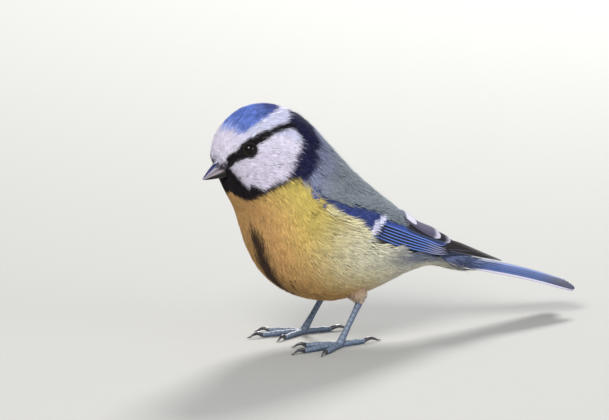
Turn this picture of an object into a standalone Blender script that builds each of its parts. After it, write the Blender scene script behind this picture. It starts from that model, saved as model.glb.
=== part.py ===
"""Blue tit, life size, standing still with its head bent down: one closed solid for each part of the bird.

Metres, +Z up. The bird faces -X and its left side is -Y. The floor is z = 0.
"""

import math

import bmesh
import bpy
import numpy as np
from mathutils import Matrix, Vector

# Driving sizes
MM = 0.001
GAP = 0.3 * MM  # air between touching parts
FLOOR_DROP = 34.0 * MM  # from the body's own zero height down to the floor
MIDDLE_X = 24.0 * MM  # from the body's own zero to the middle of its length
RING_POINTS = 30
WING_BONE_END = 9.2  # station where the arm of the folded wing ends

# The body's outline, from the bill's root to the tail's root, in millimetres in the body's own plane:
# dorsal point (x, z), ventral point (x, z), half width, and how far up the widest level lies.
STATIONS = [
    ((-25.0, 14.9), (-23.0, 11.0), 2.0, 0.5),  # root of the bill
    ((-25.6, 17.7), (-22.3, 9.2), 3.9, 0.5),  # lores
    ((-24.0, 22.0), (-21.2, 6.8), 6.2, 0.5),  # forehead and chin
    ((-20.6, 25.6), (-19.8, 4.2), 8.0, 0.48),  # eyes
    ((-15.2, 27.8), (-18.2, 1.4), 9.5, 0.50),  # crown and bib
    ((-8.4, 27.4), (-16.9, -1.8), 10.8, 0.52),  # nape
    ((-1.2, 24.0), (-15.4, -6.0), 12.4, 0.52),  # collar
    ((5.0, 17.6), (-13.2, -11.0), 14.2, 0.50),  # shoulders
    ((11.8, 10.2), (-9.2, -17.0), 15.2, 0.50),  # mantle and breast
    ((18.6, 4.2), (-2.4, -21.6), 15.0, 0.50),  # back and belly
    ((25.0, -1.2), (6.5, -23.2), 13.0, 0.50),  # rump
    ((30.6, -6.8), (16.5, -21.5), 9.8, 0.52),
    ((35.4, -11.6), (26.5, -18.6), 6.4, 0.52),  # vent
    ((40.0, -14.8), (35.4, -17.6), 4.0, 0.5),  # root of the tail
]
# Behind the rump the folded wings lie on this roof over the tail's root.
ROOF_STATIONS = [
    ((40.4, -13.2), (36.4, -17.0), 4.6, 0.5),
    ((46.0, -15.4), (44.4, -18.2), 4.4, 0.5),
    ((51.5, -17.3), (50.6, -19.5), 3.7, 0.5),
    ((57.5, -19.6), (57.0, -21.2), 2.6, 0.5),
]
HEAD_END = 5.35
NECK_END = 6.5
PART_STEP = 0.075  # in stations: the thin cut between head, neck and torso
WING_BED = 1.5 * MM  # how deep the folded wing lies in the body's feathers
BELLY_SQUARE = 0.45  # how much squarer than an ellipse the underside is

EYE_AT = (3.08, 59.5)  # station, and degrees down from the crown
EYE_RADIUS = 2.1 * MM
EYE_SINK = 1.3 * MM
LID_RADIUS = 2.3 * MM
LID_THICK = 0.5 * MM

BILL_TIP = (-29.3, 10.7)
BILL_LEVEL = 0.44  # of the root's height, where the mouth line lies
BILL_HALF_WIDTH = 1.95

# The folded wing. Angles are degrees down from the back's midline.
ARM_LOWER = [(6.42, 86), (6.6, 91), (7.3, 87), (8.1, 83), (8.9, 77), (9.35, 72)]
ARM_UPPER = [(6.42, 80), (6.6, 73), (7.3, 63), (8.1, 54), (8.9, 44), (9.35, 38)]
ARM_THICK = 1.6 * MM
VANE_THICK = 0.55 * MM
LAYER = 0.1 * MM  # each vane's rise over the one below it

TAIL_ROOT = (37.0, -15.6)
TAIL_TIP = (76.9, -26.6)
TAIL_BOW = 1.5  # how far the tail's line arches above the chord, in millimetres
TAIL_ROOF = 0.09  # how fast the tail's sides fall away from its middle, per millimetre squared
TAIL_SPREAD = (0.3, 0.62, 1.0, 0.72)  # middle of the first feather and step to the next, at root and at tip
TAIL_PAIRS = 6

FOOT_X = 5.0  # in the body's own plane
FOOT_Y = 9.0
FOOT_TURN = 8  # degrees outwards
TOES = {  # name: direction from straight ahead, length of the toe and of its claw, in millimetres
    "inner": (-34, 8.6, 3.4),
    "middle": (0, 11.4, 3.8),
    "outer": (30, 9.0, 3.4),
    "hind": (178, 7.6, 5.0),
}
TOE_RADIUS = 0.74 * MM
TOE_LEVEL = 0.6 * MM

COLOURS = {
    "head": (0.62, 0.62, 0.72), "neck": (0.03, 0.04, 0.09), "torso": (0.46, 0.34, 0.10),
    "wing": (0.08, 0.14, 0.35), "tail": (0.09, 0.13, 0.30), "bill": (0.07, 0.07, 0.09),
    "eye": (0.01, 0.008, 0.006), "leg": (0.10, 0.12, 0.16), "claw": (0.05, 0.05, 0.06),
}


def start_clean():
    for obj in list(bpy.data.objects):
        bpy.data.objects.remove(obj, do_unlink=True)


def collection(name):
    made = bpy.data.collections.new(name)
    bpy.context.scene.collection.children.link(made)
    return made


def material(name, metallic=0.0, roughness=0.7):
    found = bpy.data.materials.get(name)
    if found:
        return found
    made = bpy.data.materials.new(name)
    made.use_nodes = True
    shader = made.node_tree.nodes["Principled BSDF"]
    shader.inputs["Base Color"].default_value = (*COLOURS[name], 1.0)
    shader.inputs["Roughness"].default_value = roughness
    shader.inputs["Metallic"].default_value = metallic
    return made


def to_row(x, y, z):
    """A point of the body's own plane, in millimetres, in the row's frame."""
    return Vector((x * MM - MIDDLE_X, y * MM, z * MM + FLOOR_DROP))


# The body's surface

def spline(rows, where):
    """The rows' values at a fractional row number, on a smooth curve through every row."""
    rows = np.asarray(rows, float)
    last = len(rows) - 1
    where = min(max(where, 0.0), last - 1e-9)
    at = int(where)
    part = where - at
    padded = np.vstack([2 * rows[0] - rows[1], rows, 2 * rows[-1] - rows[-2]])
    a, b, c, d = padded[at:at + 4]
    return 0.5 * (2 * b + (c - a) * part + (2 * a - 5 * b + 4 * c - d) * part**2
                  + (3 * b - a - 3 * c + d) * part**3)


def as_rows(stations):
    return [[*top, *low, wide, level] for top, low, wide, level in stations]


BODY_ROWS = as_rows(STATIONS)
WING_ROWS = as_rows(STATIONS[:-1] + ROOF_STATIONS)


def surface(rows, station, degrees, lift=0.0):
    """A point on the body, at an angle down from the back's midline to its left, lifted off by some metres."""
    top_x, top_z, low_x, low_z, wide, level = spline(rows, station)
    axis = np.array([top_x - low_x, top_z - low_z])
    tall = float(np.hypot(*axis))
    upward = axis / tall
    middle = np.array([low_x, low_z]) + axis * level
    cosine, sine = math.cos(math.radians(degrees)), math.sin(math.radians(degrees))
    reach = tall * (1 - level) if cosine > 0 else tall * level
    power = 2.0 + BELLY_SQUARE * (1 - cosine) / 2
    radius = (abs(sine / wide) ** power + abs(cosine / reach) ** power) ** (-1 / power) + lift / MM
    x, z = middle + upward * radius * cosine
    return to_row(x, -radius * sine, z)


def wing_bed(station, degrees):
    """How far the body gives way under the folded wing."""
    begin = smooth((station - 6.9) / 1.2)
    end = 1 - smooth((station - 10.6) / 1.6)
    upper = smooth((abs(degrees) - 22) / 22)
    lower = 1 - smooth((abs(degrees) - 70) / 20)
    return WING_BED * begin * end * upper * lower


def smooth(share):
    share = min(max(share, 0.0), 1.0)
    return share * share * (3 - 2 * share)


def outward(rows, station, degrees):
    """The surface's outward normal."""
    step = 0.02
    along = surface(rows, station + step, degrees) - surface(rows, station - step, degrees)
    around = surface(rows, station, degrees + 1) - surface(rows, station, degrees - 1)
    return around.cross(along).normalized()


# Making meshes

def add_mesh(name, points, faces, where):
    mesh = bpy.data.meshes.new(name)
    mesh.from_pydata([tuple(p) for p in points], [], faces)
    shape = bmesh.new()
    shape.from_mesh(mesh)
    bmesh.ops.recalc_face_normals(shape, faces=shape.faces)
    shape.to_mesh(mesh)
    shape.free()
    mesh.shade_smooth()
    obj = bpy.data.objects.new(name, mesh)
    where.objects.link(obj)
    return obj


def loft(name, rings, where):
    """A closed solid through rings of the same number of points, with a fan at each end."""
    count = len(rings[0])
    points = [p for ring in rings for p in ring]
    faces = []
    for r in range(len(rings) - 1):
        for k in range(count):
            n = (k + 1) % count
            a, b, c, d = r * count + k, r * count + n, (r + 1) * count + n, (r + 1) * count + k
            faces += [(a, b, c), (a, c, d)]
    for r in (0, len(rings) - 1):
        points.append(sum(rings[r], Vector()) / count)
        for k in range(count):
            faces.append((r * count + k, r * count + (k + 1) % count, len(points) - 1))
    return add_mesh(name, points, faces, where)


def slab(name, top, bottom, where):
    """A closed sheet between two grids of points, split into triangles alike on both faces."""
    rows, columns = len(top), len(top[0])
    points = [p for row in top for p in row] + [p for row in bottom for p in row]
    under = rows * columns
    faces = []
    for r in range(rows - 1):
        for c in range(columns - 1):
            a = r * columns + c
            b, d = a + 1, a + columns
            e = d + 1
            faces += [(a, b, e), (a, e, d), (a + under, e + under, b + under), (a + under, d + under, e + under)]
    rim = [c for c in range(columns)]
    rim += [r * columns + columns - 1 for r in range(1, rows)]
    rim += [(rows - 1) * columns + c for c in range(columns - 2, -1, -1)]
    rim += [r * columns for r in range(rows - 2, 0, -1)]
    for k, a in enumerate(rim):
        b = rim[(k + 1) % len(rim)]
        faces += [(a, b + under, b), (a, a + under, b + under)]
    return add_mesh(name, points, faces, where)


def tube(name, points, radii, where, sides=2):
    """A tapering round tube as a mesh, from a curve with filled caps. sides is the curve's bevel resolution."""
    curve = bpy.data.curves.new(name, "CURVE")
    curve.dimensions = "3D"
    curve.bevel_depth = 1.0
    curve.bevel_resolution = sides
    curve.use_fill_caps = True
    line = curve.splines.new("POLY")
    line.points.add(len(points) - 1)
    for spot, point, radius in zip(line.points, points, radii):
        spot.co = (*point, 1.0)
        spot.radius = radius
    drawn = bpy.data.objects.new(name + "_curve", curve)
    where.objects.link(drawn)
    bpy.context.view_layer.update()
    graph = bpy.context.evaluated_depsgraph_get()
    mesh = bpy.data.meshes.new_from_object(drawn.evaluated_get(graph))
    bpy.data.objects.remove(drawn, do_unlink=True)
    shape = bmesh.new()
    shape.from_mesh(mesh)
    bmesh.ops.remove_doubles(shape, verts=shape.verts, dist=1e-6)
    bmesh.ops.triangulate(shape, faces=[f for f in shape.faces if len(f.verts) > 4])
    bmesh.ops.recalc_face_normals(shape, faces=shape.faces)
    shape.to_mesh(mesh)
    shape.free()
    mesh.name = name
    mesh.shade_smooth()
    obj = bpy.data.objects.new(name, mesh)
    where.objects.link(obj)
    return obj


def ball(name, centre, radius, where, segments=20, rings=12, axis=None):
    mesh = bpy.data.meshes.new(name)
    shape = bmesh.new()
    bmesh.ops.create_uvsphere(shape, u_segments=segments, v_segments=rings, radius=radius)
    shape.to_mesh(mesh)
    shape.free()
    mesh.shade_smooth()
    obj = bpy.data.objects.new(name, mesh)
    obj.location = centre
    if axis is not None:
        obj.rotation_euler = axis.to_track_quat("Z", "Y").to_euler()
    where.objects.link(obj)
    return obj


def apply_boolean(obj, operation, other=None, group=None, solver="EXACT"):
    cut = obj.modifiers.new(operation.lower(), "BOOLEAN")
    cut.operation = operation
    cut.solver = solver
    if group is not None:
        cut.operand_type = "COLLECTION"
        cut.collection = group
    else:
        cut.object = other
    bpy.context.view_layer.update()
    graph = bpy.context.evaluated_depsgraph_get()
    mesh = bpy.data.meshes.new_from_object(obj.evaluated_get(graph))
    obj.modifiers.clear()
    obj.data = mesh
    mesh.name = obj.name


def keep_largest(obj):
    """Only the largest closed surface stays, which fills a sealed hollow and drops a loose scrap."""
    shape = bmesh.new()
    shape.from_mesh(obj.data)
    bmesh.ops.triangulate(shape, faces=shape.faces)
    groups, seen = [], set()
    for start in shape.verts:
        if start in seen:
            continue
        group, waiting = [], [start]
        seen.add(start)
        while waiting:
            vert = waiting.pop()
            group.append(vert)
            for edge in vert.link_edges:
                other = edge.other_vert(vert)
                if other not in seen:
                    seen.add(other)
                    waiting.append(other)
        groups.append(group)
    groups.sort(key=len)
    loose = [v for group in groups[:-1] for v in group]
    bmesh.ops.delete(shape, geom=loose, context="VERTS")
    shape.to_mesh(obj.data)
    shape.free()
    obj.data.shade_smooth()


def fuse(base, pieces):
    """Joins pieces to the base by one union on their collection, and removes them."""
    group = collection("pieces_of_" + base.name)
    for piece in pieces:
        for old in list(piece.users_collection):
            old.objects.unlink(piece)
        group.objects.link(piece)
    # The exact solver takes minutes on so many thin vanes.
    apply_boolean(base, "UNION", group=group, solver="MANIFOLD")
    for piece in pieces:
        bpy.data.objects.remove(piece, do_unlink=True)
    bpy.data.collections.remove(group)
    keep_largest(base)
    return base


def finish(obj, colour, **looks):
    obj.data.materials.clear()
    obj.data.materials.append(material(colour, **looks))
    return obj


# Head, neck and torso

def body_length(name, begin, end, steps, where):
    rings = []
    for k in range(steps + 1):
        station = begin + (end - begin) * k / steps
        ring = []
        for j in range(RING_POINTS):
            degrees = (360 * j / RING_POINTS + 180) % 360 - 180
            ring.append(surface(BODY_ROWS, station, degrees, -wing_bed(station, degrees)))
        rings.append(ring)
    return loft(name, rings, where)


def eye_place(side):
    """(centre, outward axis) of an eye; side is 1 for the left one."""
    station, degrees = EYE_AT[0], EYE_AT[1] * side
    axis = outward(BODY_ROWS, station, degrees)
    if (axis.y < 0) != (side > 0):
        axis.negate()
    return surface(BODY_ROWS, station, degrees) - axis * EYE_SINK, axis


def make_head(parts, cutters):
    head = body_length("head", 0.0, HEAD_END, 15, parts)
    lids = []
    for side in (1, -1):
        centre, axis = eye_place(side)
        lid_middle = centre + axis * EYE_SINK * 0.92
        across = axis.cross(Vector((0, 0, 1))).normalized()
        other = axis.cross(across)
        turn = [lid_middle + (across * math.cos(a) + other * math.sin(a)) * LID_RADIUS
                for a in (2 * math.pi * k / 18 for k in range(18))]
        lids.append(ring_tube(f"lid_{side}", turn, LID_THICK, axis, parts))
    fuse(head, lids)
    for side in (1, -1):
        centre, axis = eye_place(side)
        socket = ball(f"socket_{side}", centre, EYE_RADIUS + GAP, cutters, 20, 14, axis)
        socket.hide_render = True
        socket.display_type = "WIRE"
        apply_boolean(head, "DIFFERENCE", other=socket)
    keep_largest(head)
    return finish(head, "head")


def ring_tube(name, turn, thick, axis, where, sides=7):
    """A closed ring of round section along a closed line of points."""
    middle = sum(turn, Vector()) / len(turn)
    rings = []
    for point in turn:
        out = (point - middle).normalized()
        rings.append([point + (out * math.cos(b) + axis * math.sin(b)) * thick
                      for b in (2 * math.pi * k / sides for k in range(sides))])
    points = [p for ring in rings for p in ring]
    faces = []
    for r in range(len(rings)):
        n = (r + 1) % len(rings)
        for k in range(sides):
            m = (k + 1) % sides
            a, b, c, d = r * sides + k, r * sides + m, n * sides + m, n * sides + k
            faces += [(a, b, c), (a, c, d)]
    return add_mesh(name, points, faces, where)


def make_eyes(parts):
    for name, side in (("eye_left", 1), ("eye_right", -1)):
        centre, axis = eye_place(side)
        finish(ball(name, centre, EYE_RADIUS, parts, 18, 10, axis), "eye", roughness=0.1)


# The bill

def make_bill(parts):
    top, low = (np.array(p) for p in STATIONS[0][:2])
    root = low + (top - low) * BILL_LEVEL
    tall = float(np.hypot(*(top - low)))
    upward = (top - low) / tall
    line = np.array(BILL_TIP) - root
    forward = np.array([-upward[1], upward[0]])
    root = root + forward * GAP / MM
    for name, sign, height in (("bill_upper", 1, tall * (1 - BILL_LEVEL)), ("bill_lower", -1, tall * BILL_LEVEL)):
        length = 1.0 if sign > 0 else 0.93
        rings = []
        for s in (0, 0.12, 0.26, 0.42, 0.58, 0.74, 0.88, 0.97):
            middle = root + line * s * length + upward * sign * GAP / MM / 2
            # The culmen runs nearly straight and bends down at its tip; the lower jaw is straight.
            fall = (1 - s**1.25) ** 0.95 if sign > 0 else (1 - s) ** 0.8
            high = height * fall + 0.16
            half = BILL_HALF_WIDTH * (1 - s) ** 0.85 + 0.14
            ring = []
            for k in range(11):
                a = math.pi * k / 10
                y = -half * math.cos(a)
                x, z = middle + upward * sign * high * math.sin(a) ** 0.9
                ring.append(to_row(x, y, z))
            ring += [to_row(middle[0], half * f, middle[1]) for f in (0.5, 0, -0.5)]
            rings.append(ring)
        obj = loft(name, rings, parts)
        if sign > 0:
            obj = with_nostrils(obj, root, line, upward, parts)
        finish(obj, "bill", roughness=0.35)


def with_nostrils(obj, root, line, upward, parts):
    for side in (1, -1):
        x, z = root + line * 0.16 + upward * 1.35
        pit = ball("nostril", to_row(x, side * 1.62, z), 0.34 * MM, parts, 10, 6)
        apply_boolean(obj, "DIFFERENCE", other=pit)
        bpy.data.objects.remove(pit, do_unlink=True)
    keep_largest(obj)
    return obj


# The wings

def along(points, share):
    """A place on a chain of (station, degrees) points, by the share of its stations."""
    first, last = points[0][0], points[-1][0]
    station = first + (last - first) * share
    for (s0, d0), (s1, d1) in zip(points, points[1:]):
        if station <= s1 + 1e-9:
            return station, d0 + (d1 - d0) * (station - s0) / (s1 - s0)
    return station, points[-1][1]


def arm(name, side, where):
    """The feathered arm of the folded wing: a thin rounded shell on the flank."""
    steps, columns = 10, 5
    top, bottom = [], []
    for k in range(steps + 1):
        low_station, low = along(ARM_LOWER, k / steps)
        _, high = along(ARM_UPPER, k / steps)
        outer, inner = [], []
        for c in range(columns + 1):
            share = c / columns
            degrees = high + (low - high) * share
            crown = math.sin(math.pi * share) ** 0.6 * min(1.0, 0.25 + k / 4)
            bed = GAP * 1.3 - wing_bed(low_station, degrees)
            rise = 0.55 * MM + crown * (ARM_THICK - 0.55 * MM)
            outer.append(surface(WING_ROWS, low_station, degrees * side, bed + rise))
            inner.append(surface(WING_ROWS, low_station, degrees * side, bed))
        top.append(outer)
        bottom.append(inner)
    return slab(name, top, bottom, where)


def vane(name, side, root, tip, half_width, lifts, where, rows=7, round_tip=0.55):
    """One feather's vane lying on the wing's surface: root and tip are (station, degrees)."""
    top, bottom = [], []
    for k in range(rows):
        s = k / (rows - 1)
        s = 1 - (1 - s) ** 1.3
        station = root[0] + (tip[0] - root[0]) * s
        degrees = root[1] + (tip[1] - root[1]) * s
        lift = lifts[0] + (lifts[1] - lifts[0]) * s
        grow = min(1.0, 0.55 + 1.8 * s)
        fall = 1.0 if s < round_tip else math.sqrt(max(0.0, 1 - ((s - round_tip) / (1.02 - round_tip)) ** 2))
        half = half_width * grow * max(fall, 0.12)
        reach = (surface(WING_ROWS, station, degrees) - surface(WING_ROWS, station, degrees + 1)).length
        spread = half / reach
        outer, inner = [], []
        for c, across in enumerate((-1, 0, 1)):
            ridge = 0.12 * MM if c == 1 else 0.0
            at = degrees + across * spread
            bed = lift - wing_bed(station, at)
            outer.append(surface(WING_ROWS, station, at * side, bed + VANE_THICK + ridge))
            inner.append(surface(WING_ROWS, station, at * side, bed))
        top.append(outer)
        bottom.append(inner)
    return slab(name, top, bottom, where)


def wing_vanes(side, where):
    """The folded wing's feathers in their tiers: primaries lowest, then secondaries, tertials and coverts."""
    made = []
    level = GAP * 1.4
    for k in range(7):  # primaries, from the long outer ones inwards
        share = k / 6
        root = (9.0 + 0.15 * k, 69 - 9 * share)
        tip = (15.75 - 0.48 * k, 58 - 5.0 * share)
        made.append(vane(f"primary_{k}", side, root, tip, 1.5 * MM, (level, level + 0.2 * MM), where, 7))
        level += LAYER
    for k in range(6):  # secondaries, their outer edges fanned one above the other
        share = k / 5
        root = (8.95, 65 - 13 * share)
        tip = (12.85 - 0.12 * k, 60 - 7 * share)
        made.append(vane(f"secondary_{k}", side, root, tip, 1.7 * MM, (level, level), where, 6))
        level += LAYER
    for k in range(3):  # tertials
        root = (8.8, 47 - 6 * k)
        tip = (12.05 - 0.65 * k, 41 - 7 * k)
        made.append(vane(f"tertial_{k}", side, root, tip, 2.2 * MM, (level, level), where, 7, 0.6))
        level += LAYER
    for k in range(7):  # greater coverts
        share = k / 6
        root = (8.1 - 0.1 * share, 77 - 25 * share)
        tip = (9.3 + 0.22 * share, 72 - 27 * share)
        rise = 1 - 0.5 * share
        made.append(vane(f"greater_covert_{k}", side, root, tip, 1.55 * MM, (1.1 * MM * rise, 1.95 * MM * rise), where, 5))
    for k in range(5):  # median coverts
        share = k / 4
        root = (7.3 - 0.1 * share, 79 - 13 * share)
        tip = (8.35 + 0.1 * share, 78 - 20 * share)
        made.append(vane(f"median_covert_{k}", side, root, tip, 1.7 * MM, (1.2 * MM, 1.75 * MM), where, 5))
    return made


def make_wings(parts):
    for name, side in (("wing_left", 1), ("wing_right", -1)):
        base = arm(name, side, parts)
        finish(fuse(base, wing_vanes(side, parts)), "wing")


# The tail

def tail_point(share, y, pair, lift):
    """A point over the tail's roof: share along it, sideways in millimetres, under how many pairs, and raised."""
    x = TAIL_ROOT[0] + (TAIL_TIP[0] - TAIL_ROOT[0]) * share
    z = TAIL_ROOT[1] + (TAIL_TIP[1] - TAIL_ROOT[1]) * share + TAIL_BOW * 4 * share * (1 - share)
    fall = (0.2 * pair + TAIL_ROOF * y * y) * (1 - 0.5 * share)
    return to_row(x, y, z - fall + lift)


def tail_vane(name, pair, side, where):
    """One tail feather. Pair 0 is the middle one and lies on top."""
    rows = 8
    length = (0.97, 0.985, 0.995, 1.0, 0.995, 0.975)[pair]
    root_first, root_step, tip_first, tip_step = TAIL_SPREAD
    top, bottom = [], []
    for k in range(rows):
        s = 1 - (1 - k / (rows - 1)) ** 1.4
        root_y, tip_y = root_first + root_step * pair, tip_first + tip_step * pair
        middle = root_y + (tip_y - root_y) * s
        half = 1.45 * min(1.0, 0.5 + 1.2 * s)
        if s > 0.84:
            half *= math.sqrt(max(0.04, 1 - ((s - 0.84) / 0.165) ** 2))
        outer, inner = [], []
        for across in (-1, 0, 1):
            ridge = 0.12 if across == 0 else 0.0
            y = (middle + across * half) * -side
            outer.append(tail_point(s * length, y, pair, ridge))
            inner.append(tail_point(s * length, y, pair, -VANE_THICK / MM))
        top.append(outer)
        bottom.append(inner)
    return slab(name, top, bottom, where)


def make_tail(parts):
    vanes = [tail_vane(f"tail_feather_{pair}_{side}", pair, side, parts)
             for pair in range(TAIL_PAIRS) for side in (1, -1)]
    tail = vanes[0]
    tail.name = "tail"
    fuse(tail, vanes[1:])
    block = body_length("torso_gauge", 10.5, 13.0, 8, parts)
    swell(block, GAP * 1.4)
    apply_boolean(tail, "DIFFERENCE", other=block)
    bpy.data.objects.remove(block, do_unlink=True)
    keep_largest(tail)
    return finish(tail, "tail")


def swell(obj, amount):
    """Moves every point of a mesh outwards by some metres."""
    shape = bmesh.new()
    shape.from_mesh(obj.data)
    shape.normal_update()
    shift = {v: v.normal.copy() * amount for v in shape.verts}
    for vert, move in shift.items():
        vert.co += move
    shape.to_mesh(obj.data)
    shape.free()


# Legs and feet

def foot_frame(side):
    """(middle of the foot on the floor, straight ahead, outwards) of the left foot, or the right one's mirror image."""
    turn = math.radians(FOOT_TURN)
    ahead = Vector((-math.cos(turn), -math.sin(turn) * side, 0))
    out = Vector((math.sin(turn), -math.cos(turn) * side, 0))
    at = to_row(FOOT_X, -FOOT_Y * side, 0)
    at.z = 0
    return at, ahead, out


def make_legs(parts, cutters, torso_gauge):
    floor = bpy.data.objects.new("floor_cutter", bpy.data.meshes.new("floor_cutter"))
    shape = bmesh.new()
    bmesh.ops.create_cube(shape, size=0.2)
    shape.to_mesh(floor.data)
    shape.free()
    floor.location = (0, 0, -0.1)
    floor.hide_render = True
    floor.display_type = "WIRE"
    cutters.objects.link(floor)
    for label, side in (("left", 1), ("right", -1)):
        at, ahead, out = foot_frame(side)
        ankle = at + Vector((0, 0, 2.3 * MM)) - ahead * 0.6 * MM
        heel = to_row(FOOT_X + 7.6, -8.2 * side, -34.0) + Vector((0, 0, 12.2 * MM))
        make_thigh(label, side, heel, parts, torso_gauge)
        make_tarsus(label, ankle, heel, parts)
        make_foot(label, at, ahead, out, floor, parts)


def make_thigh(label, side, heel, parts, torso_gauge):
    thigh = ball("thigh_" + label, heel + Vector((-3.0 * MM, 0, 2.4 * MM)), 1.0, parts, 18, 12)
    thigh.scale = (5.6 * MM, 3.9 * MM, 6.2 * MM)
    thigh.rotation_euler = (0, math.radians(-28), 0)
    bpy.context.view_layer.update()
    thigh.data.transform(thigh.matrix_world)
    thigh.matrix_world.identity()
    thigh.location, thigh.rotation_euler, thigh.scale = (0, 0, 0), (0, 0, 0), (1, 1, 1)
    apply_boolean(thigh, "DIFFERENCE", other=torso_gauge)
    keep_largest(thigh)
    finish(thigh, "torso")


def thigh_bottom(heel):
    """Where the tarsus leaves the thigh's feathers."""
    return heel + Vector((-0.6 * MM, 0, 0))


def make_tarsus(label, ankle, heel, parts):
    start = thigh_bottom(heel)
    points = [start.lerp(ankle, s) for s in (0.0, 0.08, 0.3, 0.6, 0.85, 1.0)]
    radii = [r * MM for r in (1.0, 0.95, 0.72, 0.7, 0.82, 1.0)]
    tarsus = tube("tarsus_" + label, points, radii, parts, 3)
    thigh = bpy.data.objects["thigh_" + label]
    gauge = bpy.data.objects.new("thigh_gauge", thigh.data.copy())
    parts.objects.link(gauge)
    swell(gauge, GAP)
    apply_boolean(tarsus, "DIFFERENCE", other=gauge, solver="MANIFOLD")
    bpy.data.objects.remove(gauge, do_unlink=True)
    keep_largest(tarsus)
    finish(tarsus, "leg", roughness=0.55)


def make_foot(label, at, ahead, out, floor, parts):
    """The foot's pad and its four toes in one piece, flat under the sole, and the claws."""
    centre = at + Vector((0, 0, TOE_LEVEL))
    foot = ball("foot_" + label, (0, 0, 0), 1.15 * MM, parts, 14, 8)
    foot.data.transform(Matrix.Translation(centre + Vector((0, 0, 0.24 * MM))))
    toes = []
    for name, (turn, length, claw) in TOES.items():
        angle = math.radians(turn)
        way = ahead * math.cos(angle) + out * math.sin(angle)
        toes.append(make_toe(f"toe_{name}", centre, way, length * MM, parts))
        make_claw(f"claw_{name}_{label}", centre, way, length * MM, claw * MM, parts)
    fuse(foot, toes)
    apply_boolean(foot, "DIFFERENCE", other=floor)
    tarsus = bpy.data.objects["tarsus_" + label]
    gauge = bpy.data.objects.new("tarsus_gauge", tarsus.data.copy())
    parts.objects.link(gauge)
    swell(gauge, GAP)
    apply_boolean(foot, "DIFFERENCE", other=gauge, solver="MANIFOLD")
    bpy.data.objects.remove(gauge, do_unlink=True)
    keep_largest(foot)
    finish(foot, "leg", roughness=0.55)


def make_toe(name, centre, way, length, parts):
    """A toe with its swollen joints, from the middle of the foot."""
    points, radii = [], []
    for k in range(11):
        s = k / 10
        points.append(centre + way * length * s)
        radii.append(TOE_RADIUS * (1.08 - 0.22 * s) * (1 + 0.08 * math.cos(6 * math.pi * s)))
    return tube(name, points, radii, parts, 2)


def make_claw(name, centre, way, toe_length, length, parts):
    """A claw curving down from the toe's end until its tip is just on the floor."""
    points, radii = [], []
    for k in range(8):
        s = k / 7
        rise = 0.5 * MM * math.sin(math.pi * min(1.0, s * 1.25)) - (TOE_LEVEL - 0.2 * MM) * s**2
        points.append(centre + way * (toe_length + GAP + length * s) + Vector((0, 0, rise)))
        radii.append(0.52 * MM * (1 - s) ** 0.8 + 0.09 * MM)
    finish(tube(name, points, radii, parts, 2), "claw", roughness=0.4)


def main():
    start_clean()
    parts = collection("blue_tit")
    cutters = collection("cutters")
    make_head(parts, cutters)
    finish(body_length("neck", HEAD_END + PART_STEP, NECK_END, 3, parts), "neck")
    finish(body_length("torso", NECK_END + PART_STEP, 13.0, 16, parts), "torso")
    make_eyes(parts)
    make_bill(parts)
    make_wings(parts)
    make_tail(parts)
    torso_gauge = body_length("torso_gauge", NECK_END, 12.5, 16, cutters)
    swell(torso_gauge, GAP)
    torso_gauge.hide_render = True
    torso_gauge.display_type = "WIRE"
    make_legs(parts, cutters, torso_gauge)


main()
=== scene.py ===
"""The looks of a blue tit that stands with its head bent down: skin, feathers, bill, eyes, legs and claws.

The bird faces -X and its left side is -Y. A place on the body is (u, v): u is the station, from 0 at the
bill's root to 13 at the tail's root, and v the degrees down from the back's midline, above 0 on the left.
w is v without its sign. Lengths are millimetres in the body's own plane, until to_row puts points into the
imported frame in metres. A side is 1 for the left and -1 for the right. Colours are linear.
"""

import math

import bpy
import numpy as np
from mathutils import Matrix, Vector


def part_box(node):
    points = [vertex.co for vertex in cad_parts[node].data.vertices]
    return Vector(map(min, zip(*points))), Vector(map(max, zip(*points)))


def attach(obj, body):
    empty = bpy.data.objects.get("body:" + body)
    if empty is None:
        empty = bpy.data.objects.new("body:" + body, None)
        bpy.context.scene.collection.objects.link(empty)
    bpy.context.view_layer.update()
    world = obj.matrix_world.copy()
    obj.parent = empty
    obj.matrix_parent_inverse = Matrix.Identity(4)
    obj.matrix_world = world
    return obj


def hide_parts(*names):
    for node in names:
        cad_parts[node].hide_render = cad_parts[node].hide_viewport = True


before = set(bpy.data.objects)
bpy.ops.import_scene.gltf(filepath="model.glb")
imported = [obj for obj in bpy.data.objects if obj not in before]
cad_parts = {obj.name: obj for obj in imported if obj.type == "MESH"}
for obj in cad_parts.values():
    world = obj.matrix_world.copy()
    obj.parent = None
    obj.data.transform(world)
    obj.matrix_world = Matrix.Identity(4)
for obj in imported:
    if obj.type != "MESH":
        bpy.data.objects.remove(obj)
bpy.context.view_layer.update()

MM = 0.001
RNG = np.random.default_rng(11)
SIDES = (("left", 1), ("right", -1))
SCENE = bpy.context.scene

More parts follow.
